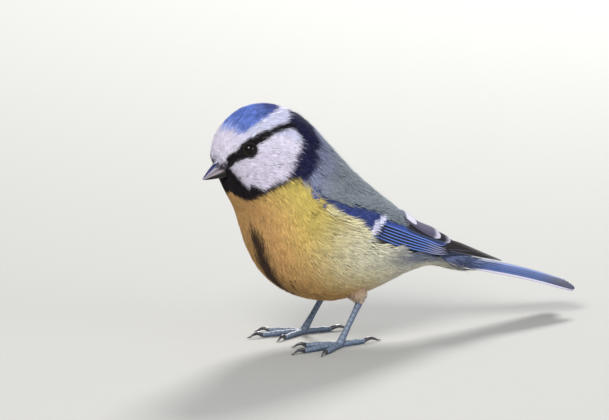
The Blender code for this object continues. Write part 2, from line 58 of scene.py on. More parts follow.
# The body's outline, as the solids have it: dorsal x, z, ventral x, z, half width, level of the widest place
STATIONS = [
    (-25.0, 14.9, -23.0, 11.0, 2.0, 0.5),  # root of the bill
    (-25.6, 17.7, -22.3, 9.2, 3.9, 0.5),  # lores
    (-24.0, 22.0, -21.2, 6.8, 6.2, 0.5),  # forehead and chin
    (-20.6, 25.6, -19.8, 4.2, 8.0, 0.48),  # eyes
    (-15.2, 27.8, -18.2, 1.4, 9.5, 0.50),  # crown and bib
    (-8.4, 27.4, -16.9, -1.8, 10.8, 0.52),  # nape
    (-1.2, 24.0, -15.4, -6.0, 12.4, 0.52),  # collar
    (5.0, 17.6, -13.2, -11.0, 14.2, 0.50),  # shoulders
    (11.8, 10.2, -9.2, -17.0, 15.2, 0.50),  # mantle and breast
    (18.6, 4.2, -2.4, -21.6, 15.0, 0.50),  # back and belly
    (25.0, -1.2, 6.5, -23.2, 13.0, 0.50),  # rump
    (30.6, -6.8, 16.5, -21.5, 9.8, 0.52),
    (35.4, -11.6, 26.5, -18.6, 6.4, 0.52),  # vent
    (40.0, -14.8, 35.4, -17.6, 4.0, 0.5),  # root of the tail
]
ROOF_STATIONS = [  # the folded wings' own surface, which stands proud of the rump, from station 10
    (25.3, -0.8, 6.5, -23.2, 13.0, 0.5),
    (31.4, -5.0, 16.5, -21.5, 9.8, 0.52),
    (36.8, -8.4, 26.5, -18.6, 6.6, 0.52),
    (41.8, -11.2, 36.4, -17.0, 4.8, 0.5),
    (46.8, -14.0, 44.4, -18.0, 4.4, 0.5),
    (52.0, -16.6, 50.6, -19.4, 3.7, 0.5),
    (57.7, -19.3, 57.0, -21.1, 2.6, 0.5),
]
BILL_STATION = (-28.2, 12.6, -27.4, 10.6, 1.1, 0.5)  # one step ahead of the bill's root
TAIL_STATIONS = [(46.0, -15.7, 43.5, -19.9, 4.5, 0.5), (52.5, -17.7, 51.0, -20.6, 4.6, 0.5),
    (58.5, -19.6, 58.0, -21.4, 4.2, 0.5)]
BELLY_SQUARE = 0.45  # how much squarer than an ellipse the underside is
WING_BED = 1.5  # depth of the bed in which a folded wing lies
EYE_AT = (3.08, 59.5)
EYE_RADIUS = 2.1
EYE_SINK = 1.3  # the ball's centre below the surface


def rgb(*colour):
    """A colour from its sRGB values, 0 to 255."""
    share = np.asarray(colour, float) / 255
    return np.where(share <= 0.04045, share / 12.92, ((share + 0.055) / 1.055) ** 2.4)


CAP = rgb(93, 116, 188)
CAP_DARK = rgb(47, 53, 114)
CAP_FRONT = rgb(142, 160, 220)
WHITE = rgb(214, 209, 226)
BROW = rgb(196, 197, 220)
CHEEK = rgb(207, 201, 219)
BLACK = rgb(17, 14, 18)
BIB = rgb(24, 19, 25)
NAVY = rgb(24, 26, 58)
MANTLE = rgb(126, 134, 142)
MANTLE_FRONT = rgb(124, 130, 157)
RUMP = rgb(84, 94, 126)
YELLOW = rgb(190, 171, 93)
OCHRE = rgb(191, 142, 98)
PALE_FLANK = rgb(208, 203, 178)
VENT = rgb(204, 199, 182)
FRINGE = rgb(226, 220, 186)
STRIPE = rgb(46, 32, 30)
COVERT = rgb(54, 67, 124)
COVERT_GREY = rgb(92, 106, 136)
BAR = rgb(214, 214, 238)
EDGE_BLUE = rgb(98, 134, 222)
EDGE_PALE = rgb(196, 192, 214)
EDGE_LILAC = rgb(118, 116, 146)
VANE_DARK = rgb(24, 22, 31)
VANE_BROWN = rgb(36, 30, 31)
TERTIAL = rgb(64, 80, 116)
TERTIAL_LILAC = rgb(92, 86, 110)
TERTIAL_GREY = rgb(96, 104, 124)
INNER_BLUE = rgb(58, 78, 150)
TAIL_BLUE = rgb(80, 106, 170)
TAIL_DARK = rgb(34, 38, 62)
# The bill's ridge colour is dark horn with a painted reflection of the sky.
BILL_RIDGE_REFLECTION = rgb(37, 41, 88)
BILL_SIDE = rgb(112, 107, 120)
BILL_EDGE = rgb(168, 158, 160)
BILL_LOW = rgb(17, 15, 16)
LEG = rgb(84, 98, 122)
LEG_PALE = rgb(132, 144, 160)
CLAW = rgb(46, 44, 52)
IRIS = rgb(30, 18, 13)
PUPIL = rgb(7, 5, 6)
EYE_RIM = rgb(16, 11, 10)
LID = rgb(16, 13, 15)
BRISTLE = rgb(60, 50, 66)
CLAW_TIP = rgb(112, 104, 104)
# The skin under the coat is drawn darker than the coat: painted shade that makes the gaps between feathers
# look deep.
SKIN_SHADE = 0.8  # the skin under the coat, as a share of the coat's colour


# Curves and the body's surface

def smooth(share):
    share = np.clip(share, 0.0, 1.0)
    return share * share * (3 - 2 * share)


def grid(rows, cols):
    return np.meshgrid(rows, cols, indexing="ij")


def turn_steps(count, whole=2 * math.pi):
    """Even steps round a whole turn, which isn't closed by a last one."""
    return np.linspace(0, whole, count, endpoint=False)


def ramp(value, start, length):
    """0 up to the start of a stretch and 1 from its end on."""
    return smooth((value - start) / length)


def fade(value, start, length):
    """1 up to the start of a stretch and 0 from its end on."""
    return 1 - ramp(value, start, length)


def edge(distance, width):
    """0 well before a border and 1 well past it."""
    return smooth(distance / width + 0.5)


def mix(colour, *layers):
    """A colour with others laid over it, each followed by its share."""
    for over, share in zip(layers[::2], layers[1::2]):
        colour = colour + (over - colour) * np.asarray(share)[..., None]
    return colour


BODY = np.array([BILL_STATION, *STATIONS, *TAIL_STATIONS])
ROOF = np.array([BILL_STATION, *STATIONS[:10], *ROOF_STATIONS])


def spline(rows, where):
    """The rows' values at fractional row numbers, on a smooth curve through every row."""
    where = np.clip(np.asarray(where, float), 0, len(rows) - 1 - 1e-9)
    at = where.astype(int)
    part = (where - at)[..., None]
    padded = np.vstack([2 * rows[0] - rows[1], rows, 2 * rows[-1] - rows[-2]])
    a, b, c, d = (padded[at + k] for k in range(4))
    return 0.5 * (2 * b + (c - a) * part + (2 * a - 5 * b + 4 * c - d) * part**2
        + (3 * b - a - 3 * c + d) * part**3)


def surface(rows, u, v, lift=0.0):
    """Points on the body or on the wings' roof."""
    u, v, lift = np.broadcast_arrays(np.asarray(u, float), v, lift)
    row = spline(rows, u + 1)
    low, wide, level = row[..., 2:4], row[..., 4], row[..., 5]
    axis = row[..., :2] - low
    tall = np.hypot(axis[..., 0], axis[..., 1])
    upward = axis / tall[..., None]
    middle = low + axis * level[..., None]
    cosine, sine = np.cos(np.radians(v)), np.sin(np.radians(v))
    reach = np.where(cosine > 0, tall * (1 - level), tall * level)
    power = 2.0 + BELLY_SQUARE * (1 - cosine) / 2
    radius = (np.abs(sine / wide) ** power + np.abs(cosine / reach) ** power) ** (-1 / power) + lift
    along = middle + upward * (radius * cosine)[..., None]
    return np.stack([along[..., 0], -radius * sine, along[..., 1]], -1)


def eye_frame(side):
    """Where an eyeball's axis meets the body's surface, and the axis, outwards."""
    u, v = EYE_AT[0], EYE_AT[1] * side
    along = surface(BODY, u + 0.02, v) - surface(BODY, u - 0.02, v)
    around = surface(BODY, u, v + 1) - surface(BODY, u, v - 1)
    out = np.cross(around, along)
    out /= np.linalg.norm(out)
    return surface(BODY, u, v), out if (out[1] < 0) == (side > 0) else -out


def from_eye(points, side):
    """An eye's axis, how far points stand out along it and how far they are from it."""
    at, axis = eye_frame(side)
    height = (points - at) @ axis
    return axis, height, np.linalg.norm(points - at - height[..., None] * axis, axis=-1)


def find_shift():
    """From the body's own zero to the row's, read off the left eye's place in the frame."""
    low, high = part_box("eye_left")
    at, axis = eye_frame(1)
    return np.array((low + high) / 2) / MM - (at - axis * EYE_SINK)


SHIFT = find_shift()


def to_row(points):
    return (np.asarray(points, float) + SHIFT) * MM


def wing_bed(u, v):
    """How deep the body is pressed in under a folded wing."""
    w = np.abs(v)
    return WING_BED * ramp(u, 6.9, 1.2) * fade(u, 10.6, 1.6) * ramp(w, 22, 22) * fade(w, 70, 20)


# Where one part of the plumage borders another: degrees by station, or station by degrees

def border(*points):
    where, value = np.array(points, float).T
    return lambda at: np.interp(at, where, value)


cap_edge = border((2.2, 0), (2.35, 12), (2.5, 24), (2.6, 32), (3.1, 33.4), (3.8, 28.5), (4.3, 22.6),
    (4.7, 15.5), (5.1, 0))
stripe_top = border((0.8, 53), (1.5, 52), (2.2, 55), (2.42, 50), (2.55, 46.5), (3.1, 45), (3.6, 42.6),
    (4.25, 38.4), (4.8, 33), (5.1, 28.5))
stripe_low = border((0.8, 84), (1.4, 84), (1.7, 79), (2.3, 77), (2.8, 73.5), (3.4, 67.5), (3.7, 57.5),
    (4.3, 48.2), (4.7, 42.4), (5.1, 36.4))
cheek_low = border((1.0, 78), (1.2, 86), (1.45, 97), (1.75, 108), (2.4, 117), (3.2, 121), (3.95, 124.9),
    (4.3, 121.5), (4.7, 110), (5.2, 99), (5.6, 88))
cheek_back = border((30, 5.0), (34, 5.15), (38, 5.4), (43, 5.62), (55, 5.57), (63, 5.49), (76, 5.4),
    (86, 5.38), (98, 5.23))
nape_back = border((0, 5.42), (10, 5.36), (18, 5.25), (30, 5.05))
bib_low = border((1.9, 178), (2.6, 158.3), (3.45, 143.8), (4.2, 130.1), (4.85, 118.2), (5.2, 107.8),
    (5.5, 95.5), (5.8, 87), (6.2, 82))
collar_back = border((0, 6.1), (14, 6.18), (23, 6.27), (31, 6.42), (45, 6.37), (58, 6.33), (72, 6.29),
    (83, 6.2))
mantle_low = border((6.2, 86), (6.76, 81), (7.34, 73.2), (7.85, 63), (8.45, 53.5), (9, 47.5), (9.3, 44.5),
    (9.7, 40), (10.1, 34.5), (10.5, 28), (11.1, 22), (11.8, 30), (12.4, 60), (13, 88))
flank_top = border((6.2, 87), (6.9, 83.5), (7.4, 80), (7.8, 76.5), (8.2, 74), (8.6, 74.5), (9.2, 75.5),
    (9.65, 73), (10.2, 72), (10.9, 75.5), (11.6, 80), (12.2, 86), (12.7, 91), (13, 92))
bar_at = border((40, 9.42), (50, 9.27), (60, 9.12), (72, 9.02), (80, 8.98))
belly_half = border((4.9, 1), (5.4, 6), (6, 8.5), (6.6, 9.5), (7.2, 10), (8, 10.5), (8.6, 9), (9.2, 2))


def wing_middle(u):
    return (mantle_low(u) + flank_top(u)) / 2


def near_wing(u, w, width):
    """1 at the folded wing's upper edge and 0 at so many degrees above it."""
    return smooth(1 - (mantle_low(u) - w) / width)


def plumage(u, v):
    """The coat's colour at places on the body."""
    w = np.abs(v)
    # Underside: yellow breast, warmer belly, pale flanks and vent, and the dark line of the belly
    off_middle = np.abs((np.asarray(v) + 360) % 360 - 180 + 9 * fade(u, 6, 2.5))
    dark = edge(belly_half(u) - off_middle, 5) * (u > 4.8) * (u < 9.2)
    under = mix(YELLOW, OCHRE, ramp(w, 95, 60) * 0.75, PALE_FLANK, ramp(u, 6.9, 2.3) * fade(w, 92, 55),
        VENT, ramp(u, 9.6, 1.8), RUMP, ramp(u, 9.2, 2.4) * fade(w, 86, 22) * 0.85, STRIPE, dark * 0.95)
    # Upper side: grey-green mantle, bluer behind the collar, blue-grey rump
    over = mix(MANTLE_FRONT, MANTLE, ramp(u, collar_back(w), 1.1), RUMP, ramp(u, 10.2, 1.0))
    body = mix(under, over, edge(wing_middle(u) - w, 4))
    # Head: pale face, blue cap, navy nape and collar, black stripe through the eye, black bib
    blue = mix(CAP_FRONT, CAP, ramp(u, 2.2, 0.8), CAP_DARK, ramp(u, 3.9, 0.9))
    capped = edge(cap_edge(u) - w, 4) * edge(u - 2.25, 0.5) * (u < 5.2)
    nape = edge(u - nape_back(w), 0.14) * (w < 31)
    back = edge(u - cheek_back(w), 0.14) * (w >= 31)
    stripe = edge(w - stripe_top(u), 3) * edge(stripe_low(u) - w, 3) * edge(u - 0.7, 0.2)
    off_eye = np.hypot((u - EYE_AT[0]) * 5.2, (w - EYE_AT[1]) * 0.148)
    head = mix(WHITE, CHEEK, edge(w - 55, 20), BROW, ramp(u, 2.3, 1.2) * (w < 48), blue, capped, NAVY,
        np.maximum(nape, back), BLACK, stripe * edge(5.4 - u, 0.3), BIB, edge(w - cheek_low(u), 4), BLACK,
        1 - edge(off_eye - 2.3, 0.4))
    # The head's colours end at the collar and at the bib's lower border.
    collar = edge(collar_back(w) - u, 0.3)
    bib = edge(bib_low(u) - w, 4) * (u < 6.6) + (u < 1.9)
    return mix(body, head, np.clip(np.minimum(collar, bib), 0, 1))


# Meshes from arrays

def add_piece(name, shape, look, replaced=(), uvs=None, barbs=False):
    """One piece of the visual, from its points, triangles and colours."""
    points, faces, colours = shape
    faces = np.ascontiguousarray(faces, np.int32)
    mesh = bpy.data.meshes.new(name)
    mesh.vertices.add(len(points))
    mesh.vertices.foreach_set("co", np.ascontiguousarray(to_row(points), np.float32).ravel())
    mesh.loops.add(faces.size)
    mesh.loops.foreach_set("vertex_index", faces.ravel())
    mesh.polygons.add(len(faces))
    mesh.polygons.foreach_set("loop_start", np.arange(0, faces.size, 3, dtype=np.int32))
    mesh.polygons.foreach_set("use_smooth", np.ones(len(faces), bool))
    rgba = np.ones((len(points), 4), np.float32)
    rgba[:, :3] = colours
    mesh.color_attributes.new("Tint", "FLOAT_COLOR", "POINT").data.foreach_set("color", rgba.ravel())
    if uvs is not None:
        layer = mesh.uv_layers.new(name="OFBake")
        layer.data.foreach_set("uv", uvs.astype(np.float32)[faces.ravel()].ravel())
    mesh.update(calc_edges=True)
    if barbs:
        crease_barbs(mesh)
    mesh.materials.append(bpy.data.materials[look + "_look"])
    obj = bpy.data.objects.new(name, mesh)
    SCENE.collection.objects.link(obj)
    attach(obj, "root")
    if replaced:
        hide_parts(*replaced)


def crease_barbs(mesh):
    """Marks the two long sides of every barb as sharp, so that its top is shaded as a flat strand."""
    ends = np.empty(len(mesh.edges) * 2, np.int32)
    mesh.edges.foreach_get("vertices", ends)
    corners = np.sort(ends.reshape(-1, 2) % BLADE_POINTS, axis=1) @ (10, 1)
    long_side = np.isin(corners, (3, 14, 36, 46))  # 0 to 3, 1 to 4, 3 to 6 and 4 to 6
    mesh.attributes.new("sharp_edge", "BOOLEAN", "EDGE").data.foreach_set("value", long_side)


def grid_faces(rows, cols, wrap=0):
    """Triangles over a grid of points, row by row. wrap 1 joins the columns' ends, wrap 2 the rows' too."""
    r, c = grid(np.arange(rows - (wrap < 2)), np.arange(cols - (wrap < 1)))
    m, n = (r + 1) % rows, (c + 1) % cols
    a, b, d, e = r * cols + c, r * cols + n, m * cols + c, m * cols + n
    return np.concatenate([np.stack([a, b, e], -1).reshape(-1, 3), np.stack([a, e, d], -1).reshape(-1, 3)])


def closed_tube(rings):
    """Points and triangles of a tube through rings, with a fan at each end."""
    rows, cols = rings.shape[:2]
    points = np.concatenate([rings.reshape(-1, 3), rings[0].mean(0)[None], rings[-1].mean(0)[None]])
    k = np.arange(cols)
    n = (k + 1) % cols
    last, begin = rows * cols + 1, (rows - 1) * cols
    faces = [grid_faces(rows, cols, 1), np.stack([n, k, 0 * k + last - 1], -1),
        np.stack([begin + k, begin + n, 0 * k + last], -1)]
    return points, facing_out(points, np.concatenate(faces))


def tube_colours(colours, last=0):
    """A tube's colours, with those of the two end points taken from the first and the last ring."""
    return np.concatenate([colours.reshape(-1, 3), colours[0, :1], colours[-1, last:][:1]])


def facing_out(points, faces):
    """The same triangles, turned round if they enclose a negative volume."""
    a, b, c = (points[faces[:, k]] for k in range(3))
    return faces if np.einsum("ij,ij->", a, np.cross(b, c)) > 0 else faces[:, ::-1]


def closed_sheet(top, bottom):
    """Points and triangles of a thin closed sheet between two grids of points."""
    rows, cols = top.shape[:2]
    points = np.concatenate([top.reshape(-1, 3), bottom.reshape(-1, 3)])
    under = rows * cols
    at = np.arange(under).reshape(rows, cols)
    a = np.concatenate([at[0], at[1:, -1], at[-1, -2::-1], at[-2:0:-1, 0]])
    b = np.roll(a, -1)
    faces = grid_faces(rows, cols)
    whole = [faces, faces[:, ::-1] + under, np.stack([a, b + under, b], -1),
        np.stack([a, a + under, b + under], -1)]
    return points, facing_out(points - points.mean(0), np.concatenate(whole))


def joined(parts):
    """Several (points, triangles, colours) as one."""
    points, faces, colours = zip(*parts)
    starts = np.cumsum([0, *map(len, points)])
    colours = [np.broadcast_to(colour, (len(some), 3)) for some, colour in zip(points, colours)]
    return (np.concatenate(points), np.concatenate([some + start for some, start in zip(faces, starts)]),
        np.concatenate(colours))


# Materials

def set_inputs(node, **values):
    for key, value in values.items():
        node.inputs[key.replace("_", " ")].default_value = value
    return node


def tinted(name, roughness, noise_scale=900, noise_share=0.25, bump=0.0, bump_scale=1500, **sockets):
    """A material that takes its colour from the piece's Tint, varied by fine noise."""
    material = bpy.data.materials.new(name + "_look")
    material.use_nodes = True
    tree = material.node_tree
    shader = tree.nodes["Principled BSDF"]

    def add(kind, **values):
        return set_inputs(tree.nodes.new("ShaderNode" + kind), **values)

    def wire(source, output, target, socket):
        tree.links.new(source.outputs[output], target.inputs[socket])

    set_inputs(shader, Roughness=roughness, **sockets)
    place = add("TexCoord")
    noise = add("TexNoise", Scale=noise_scale, Detail=3)
    wire(place, "Object", noise, "Vector")
    light = add("MapRange", To_Min=1 - noise_share, To_Max=1 + noise_share)
    wire(noise, "Fac", light, "Value")
    tint = add("Attribute")
    tint.attribute_name = "Tint"
    product = add("VectorMath")
    product.operation = "SCALE"
    wire(tint, "Color", product, 0)
    wire(light, "Result", product, "Scale")
    wire(product, "Vector", shader, "Base Color")
    if bump:
        fine = add("TexNoise", Scale=bump_scale, Detail=4)
        wire(place, "Object", fine, "Vector")
        relief = add("Bump", Strength=bump, Distance=0.0001)
        wire(fine, "Fac", relief, "Height")
        wire(relief, "Normal", shader, "Normal")


# Skin

def coat_depth(u):
    """How deep the coat is."""
    return np.interp(u, (0, 1, 3, 5, 7, 9, 13, 14), (0.2, 0.32, 0.45, 0.7, 0.95, 1.05, 0.8, 0.6))


def unwrap(u, v):
    """A place on the flat unwrap of the skin's own shape."""
    v = (np.asarray(v) + 180) % 360 - 180
    return 0.04 + 0.92 * np.clip(u, 0, 14) / 14, 0.5 + v / 360 * 0.94


def make_skin():
    """The body's skin under the coat, pressed in round each eyeball, and the skin of the thighs."""
    stations = np.linspace(0.05, 12.98, 240)
    u, v = grid(stations, np.linspace(-180, 180, 180, endpoint=False))
    rings = surface(BODY, u, v, -wing_bed(u, v) - coat_depth(u))
    for _, side in SIDES:
        axis, height, flat = from_eye(rings, side)
        rings -= (1.6 * fade(flat, 1.2, 0.7) * (np.abs(height) < 4))[..., None] * axis
    colours = np.concatenate([plumage(u, v).reshape(-1, 3), plumage(stations[[0, -1]], np.zeros(2))])
    # The skin of the body and of the thighs is the coat's colour darkened, as painted shade deep in the gaps
    # between feathers.
    parts = [(*closed_tube(rings), colours * SKIN_SHADE)]
    uvs = [np.stack(unwrap(u, v), -1).reshape(-1, 2), [(0.03, 0.5), (0.97, 0.5)]]
    for _, side in SIDES:
        points, faces = thigh_skin(side)
        parts.append((points, faces, VENT * SKIN_SHADE))
        uvs.append(np.tile([(0.02 if side > 0 else 0.98, 0.02)], (len(points), 1)))
    replaced = ("head", "neck", "torso", "thigh_left", "thigh_right")
    add_piece("skin", joined(parts), "skin", replaced, np.concatenate(uvs))


# Feathers of the coat, as bundles of tapering barbs

FRINGE_TUFTS, CHEEK_WISPS, BAR_TIPS = 40, 80, 22  # on each side
BLADE_POINTS = 7
BLADE_FACES = np.array([(1, 2, 0), (1, 0, 3), (1, 3, 4), (1, 4, 5), (1, 5, 2), (0, 2, 5), (0, 5, 3),
    (4, 3, 6), (4, 6, 5), (3, 5, 6)])
BLADE_UV = np.array([(0, -1), (0, 1), (0.2, 0), (1.2, -1), (1.2, 1), (1.3, 0), (2, 0)]) * 0.0014


def directions(place, u, v):
    """A surface's normal and sideways way, and how (u, v) grow for a millimetre forward and sideways."""
    step = 0.01
    along = (place(u + step, v, 0.0) - place(u, v, 0.0)) / step
    around = place(u, v + 0.5, 0.0) - place(u, v - 0.5, 0.0)
    normal = np.cross(around, along)
    normal /= np.linalg.norm(normal, axis=-1, keepdims=True)
    forward = along / np.linalg.norm(along, axis=-1, keepdims=True)
    aside = np.cross(forward, normal)
    a, b, c = (along * along).sum(-1), (along * around).sum(-1), (around * around).sum(-1)
    det = a * c - b * b

    def steps(way):
        p, q = (along * way).sum(-1), (around * way).sum(-1)
        return np.stack([(c * p - b * q) / det, (a * q - b * p) / det], -1)[:, None]

    return normal[:, None], aside[:, None], steps(forward), steps(aside)


def feathers(place, u, v, length, width, depth, barbs, turn=0.0, rise=0.15, thick=0.035, barb_width=None,
        over=0.0, wild=1.0, root_sink=0.0):
    """Barbs of feathers rooted at (u, v): points, and each one's root, middle and tip in (u, v)."""
    count = len(u)

    def column(values):
        return np.broadcast_to(values, (count,))[:, None]

    def chance(spread):
        return RNG.normal(0, spread, (count, barbs))

    normal, aside, step_on, step_side = directions(place, u, v)
    turn = np.radians(turn + RNG.normal(0, 5 * wild, count))[:, None]
    j = np.linspace(-1, 1, barbs)[None, :]
    reach = length[:, None] * (1 - 0.3 * j**2) * (1 + chance(0.1))
    half, deep, over, sink = column(width) / 2, column(depth), column(over), column(root_sink)
    lean = chance(0.035 * wild)
    spots = []
    for ahead, spread in ((0.0, 0.25), (0.5, 0.85), (1.0, 1.15)):
        on = reach * ahead
        off = j * half * spread + lean * length[:, None] * ahead * 2
        x = on * np.cos(turn) - off * np.sin(turn)
        y = on * np.sin(turn) + off * np.cos(turn)
        spots.append(np.stack([u, v], -1)[:, None] + x[..., None] * step_on + y[..., None] * step_side)
    bow = 0.12 * half * (1 - j**2)
    lifts = (-deep * 1.02 - sink + 0 * j, -deep * 0.42 + over * 0.8 + bow + chance(0.05 * wild),
        rise * RNG.uniform(0.5, 1.0, (count, 1)) + over + bow * 0.5 + chance(0.06 * wild))
    root, middle, tip = (place(spot[..., 0], spot[..., 1], lift) for spot, lift in zip(spots, lifts))
    wide = column(width / barbs * 1.15 if barb_width is None else barb_width)[..., None]
    side = aside * (wide * (1 + 0.2 * RNG.random((count, barbs, 1))))
    up = normal * thick
    return np.stack([root - side * 0.3, root + side * 0.3, root + up, middle - side * 0.5,
        middle + side * 0.5, middle + up, tip], 2), spots


def along_barb(spots, share):
    return spots[0] + (spots[2] - spots[0]) * share


def shade(points, root, middle, tip, vary=0.06, streak=0.14, root_dark=0.65):
    """Colours for the seven points of each barb. About one barb in seven is a touch lighter."""
    count, barbs = points.shape[:2]
    streak = np.broadcast_to(streak, (count,))[:, None, None, None]
    tone = 1 + RNG.normal(0, vary, (count, 1, 1, 1)) + streak * RNG.normal(0, 1, (count, barbs, 1, 1))
    glint = 0.022 * (RNG.random((count, barbs, 1, 1)) > 0.86)
    parts = [root * root_dark] * 3 + [middle * 0.95] * 3 + [tip * 1.03]
    plain = np.stack([np.broadcast_to(part, (count, barbs, 3)) for part in parts], 2)
    return np.clip(plain * np.maximum(tone, 0.3) + glint, 0, 0.95)


def barb_set(points, colours, spot, keep=True):
    """The kept barbs' points, colours and places on the unwrap. Each feather's root has its spot there."""
    uvs = np.stack(spot, -1)[:, None, None] + np.broadcast_to(BLADE_UV, (*points.shape[:3], 2))
    keep = np.broadcast_to(keep, points.shape[:2])
    return points[keep], colours[keep], uvs[keep]


def add_barbs(name, slot, *sets):
    """A piece of barbs from one or more sets of them."""
    points, colours, uvs = (np.concatenate(parts) for parts in zip(*sets))
    faces = (np.arange(len(points))[:, None, None] * BLADE_POINTS + BLADE_FACES).reshape(-1, 3)
    shape = points.reshape(-1, 3), faces, colours.reshape(-1, 3)
    add_piece(name, shape, "coat", uvs=uvs.reshape(-1, 2), barbs=True)


def coat_place(u, v, lift):
    return surface(BODY, u, v, lift)


def wing_place(u, v, lift):
    """The folded wing's surface, which sinks into the body at the wing's front and edges."""
    bed = wing_bed(u, v)
    share = np.clip(0.15 + 0.85 * bed / WING_BED + 0.5 * ramp(u, 10.6, 1.4), 0, 1)
    return surface(ROOF, u, v, lift * share - bed)


def scatter(place, low, high, spacing, keep=lambda u, v: 1):
    """Random places, about spacing(u, v) apart, where keep(u, v) is true."""
    u = np.linspace(low[0], high[0], 200)
    v = np.linspace(low[1], high[1], 180)
    um, vm = grid((u[:-1] + u[1:]) / 2, (v[:-1] + v[1:]) / 2)
    du, dv = u[1] - u[0], v[1] - v[0]
    along = place(um + du / 2, vm, 0.0) - place(um - du / 2, vm, 0.0)
    around = place(um, vm + dv / 2, 0.0) - place(um, vm - dv / 2, 0.0)
    area = np.linalg.norm(np.cross(along, around), axis=-1)
    want = (area / spacing(um, vm) ** 2 * keep(um, vm)).ravel()
    total = int(RNG.poisson(want.sum()))
    cell = RNG.choice(want.size, total, p=want / want.sum())
    u = um.ravel()[cell] + (RNG.random(total) - 0.5) * du
    return u, vm.ravel()[cell] + (RNG.random(total) - 0.5) * dv


def feather_length(u, v):
    w = np.abs(v)
    long = np.interp(u, (0.3, 1, 2, 3, 4, 5, 6, 7, 9, 13),
        (0.9, 1.2, 1.7, 2.1, 2.5, 2.9, 3.4, 4.0, 4.8, 4.8))
    shoulder = ramp(u, 6.2, 0.4) * fade(u, 8, 0.8) * near_wing(u, w, 16)
    long = long * (1 - 0.4 * shoulder * (w < wing_middle(u)))
    return long * (1 + 0.18 * ramp(w, 100, 40) * ramp(u, 6, 2)) + 1.2 * smooth(u - 12)


def grows_here(u, v):
    """False under the folded wings, at the bill's root, beside the tail's root and over the eyes."""
    w = np.abs(v)
    high = mantle_low(u) + 0.5 - 5 * fade(u, 8.7, 0.5)
    low = flank_top(u) + 1.5 + 2 * fade(u, 7, 0.6)
    bare = (u > 6.3) & (u < 12.6) & (w > high) & (w < low)
    bare |= ((u > 12.9) & (w > 84) & (w < 108)) | (u <= 0.25)
    for _, side in SIDES:
        bare |= np.linalg.norm(coat_place(u, v, 0.0) - eye_frame(side)[0], axis=-1) < 1.75
    return ~bare


def near_eye(points):
    """Which barbs reach over an eye."""
    hidden = np.zeros(points.shape[:2], bool)
    for _, side in SIDES:
        _, height, flat = from_eye(points[:, :, 3:], side)
        hidden |= ((flat < 1.7) & (np.abs(height) < 4)).any(-1)
    return hidden


def lie(u, v):
    """How far the feathers turn from the body's length towards the back, in degrees."""
    w = np.abs(v)
    flank = ramp(u, 5.9, 0.7) * fade(u, 7.9, 1.0) * ramp(w, 70, 6) * fade(w, 86, 44)
    shoulder = ramp(u, 6.0, 0.5) * fade(u, 8.7, 0.7) * near_wing(u, w, 26)
    return -np.where(w < wing_middle(u), 20 * shoulder, 30 * flank) * np.sign(v)


def coat_over(u, v):
    """How much higher the feathers lie on the rump and where they cover the edges of the folded wing."""
    w = np.abs(v)
    along = ramp(u, 6, 0.8) * fade(u, 10.6, 1.4)
    top = near_wing(u, w, 16 + 30 * ramp(u, 7.6, 1.2))
    low = smooth(1 - (w - flank_top(u)) / 14)
    rump = 1.5 * ramp(u, 10.2, 1.2) * fade(w - 24, 40 * ramp(u, 12, 0.8), 22)
    rump = rump * (1 - 0.6 * ramp(u, 12.9, 0.9))
    high = 0.45 + 0.15 * ramp(u, 8.3, 0.8)
    below = 0.4 * low * fade(u, 8.4, 0.8)
    return rump + along * np.where(w < wing_middle(u), high * top, below)


REGIONS = {  # name: (first station, last station, first and last degrees down, feathers' slot)
    "crown": (0.2, 4.3, 0, 50, "head_plumage"),
    "face": (0.2, 4.3, 50, 110, "head_plumage"),
    "bib": (0.2, 4.3, 110, 180, "head_plumage"),
    "nape": (4.3, 6.4, 0, 50, "collar_plumage"),
    "cheek": (4.3, 6.4, 50, 110, "head_plumage"),
    "breast": (4.3, 7.5, 110, 180, "breast_plumage"),
    "mantle": (6.4, 9.5, 0, 90, "breast_plumage"),
    "rump": (9.5, 14.0, 0, 60, "tail_feathers"),
    "side": (6.4, 9.5, 90, 110, "breast_plumage"),
    "belly": (7.5, 10.0, 110, 180, "breast_plumage"),
    "flank": (9.5, 14.0, 60, 110, "breast_plumage"),
    "vent": (10.0, 14.0, 110, 180, "breast_plumage"),
}


def region_of(u, v):
    """The number of each place's region."""
    w = np.abs(v)
    found = np.full(len(u), -1)
    for k, (low, high, first, last, _) in enumerate(REGIONS.values()):
        inside = (u >= low) & (u < high) & (w >= first) & (w <= last) & (found < 0)
        found[inside] = k
    return found


def make_coat():
    """Every body feather, rooted all over the skin, in one piece for each region and side."""
    def spacing(u, v):
        return feather_length(u, v) * np.interp(u, (6, 13), (0.2, 0.215))

    u, v = scatter(coat_place, (0.2, -180), (13.9, 180), spacing, grows_here)
    where = region_of(u, v)
    for k, (name, (*_, slot)) in enumerate(REGIONS.items()):
        for label, side in SIDES:
            chosen = (where == k) & (np.sign(v + 1e-9) == side)
            if chosen.any():
                coat_piece(f"coat_{name}_{label}", u[chosen], v[chosen], slot)


def ruffle(u, v):
    """How far loose barbs stand up, as a share of the coat's rise: most at the forehead and nape."""
    w = np.abs(v)
    forehead = fade(u, 1.9, 0.8) * fade(w, 40, 25)
    nape = ramp(u, 4.6, 0.8) * fade(u, 7.4, 1.2) * fade(w, 30, 30)
    return 1.3 + 4 * forehead + 3 * nape


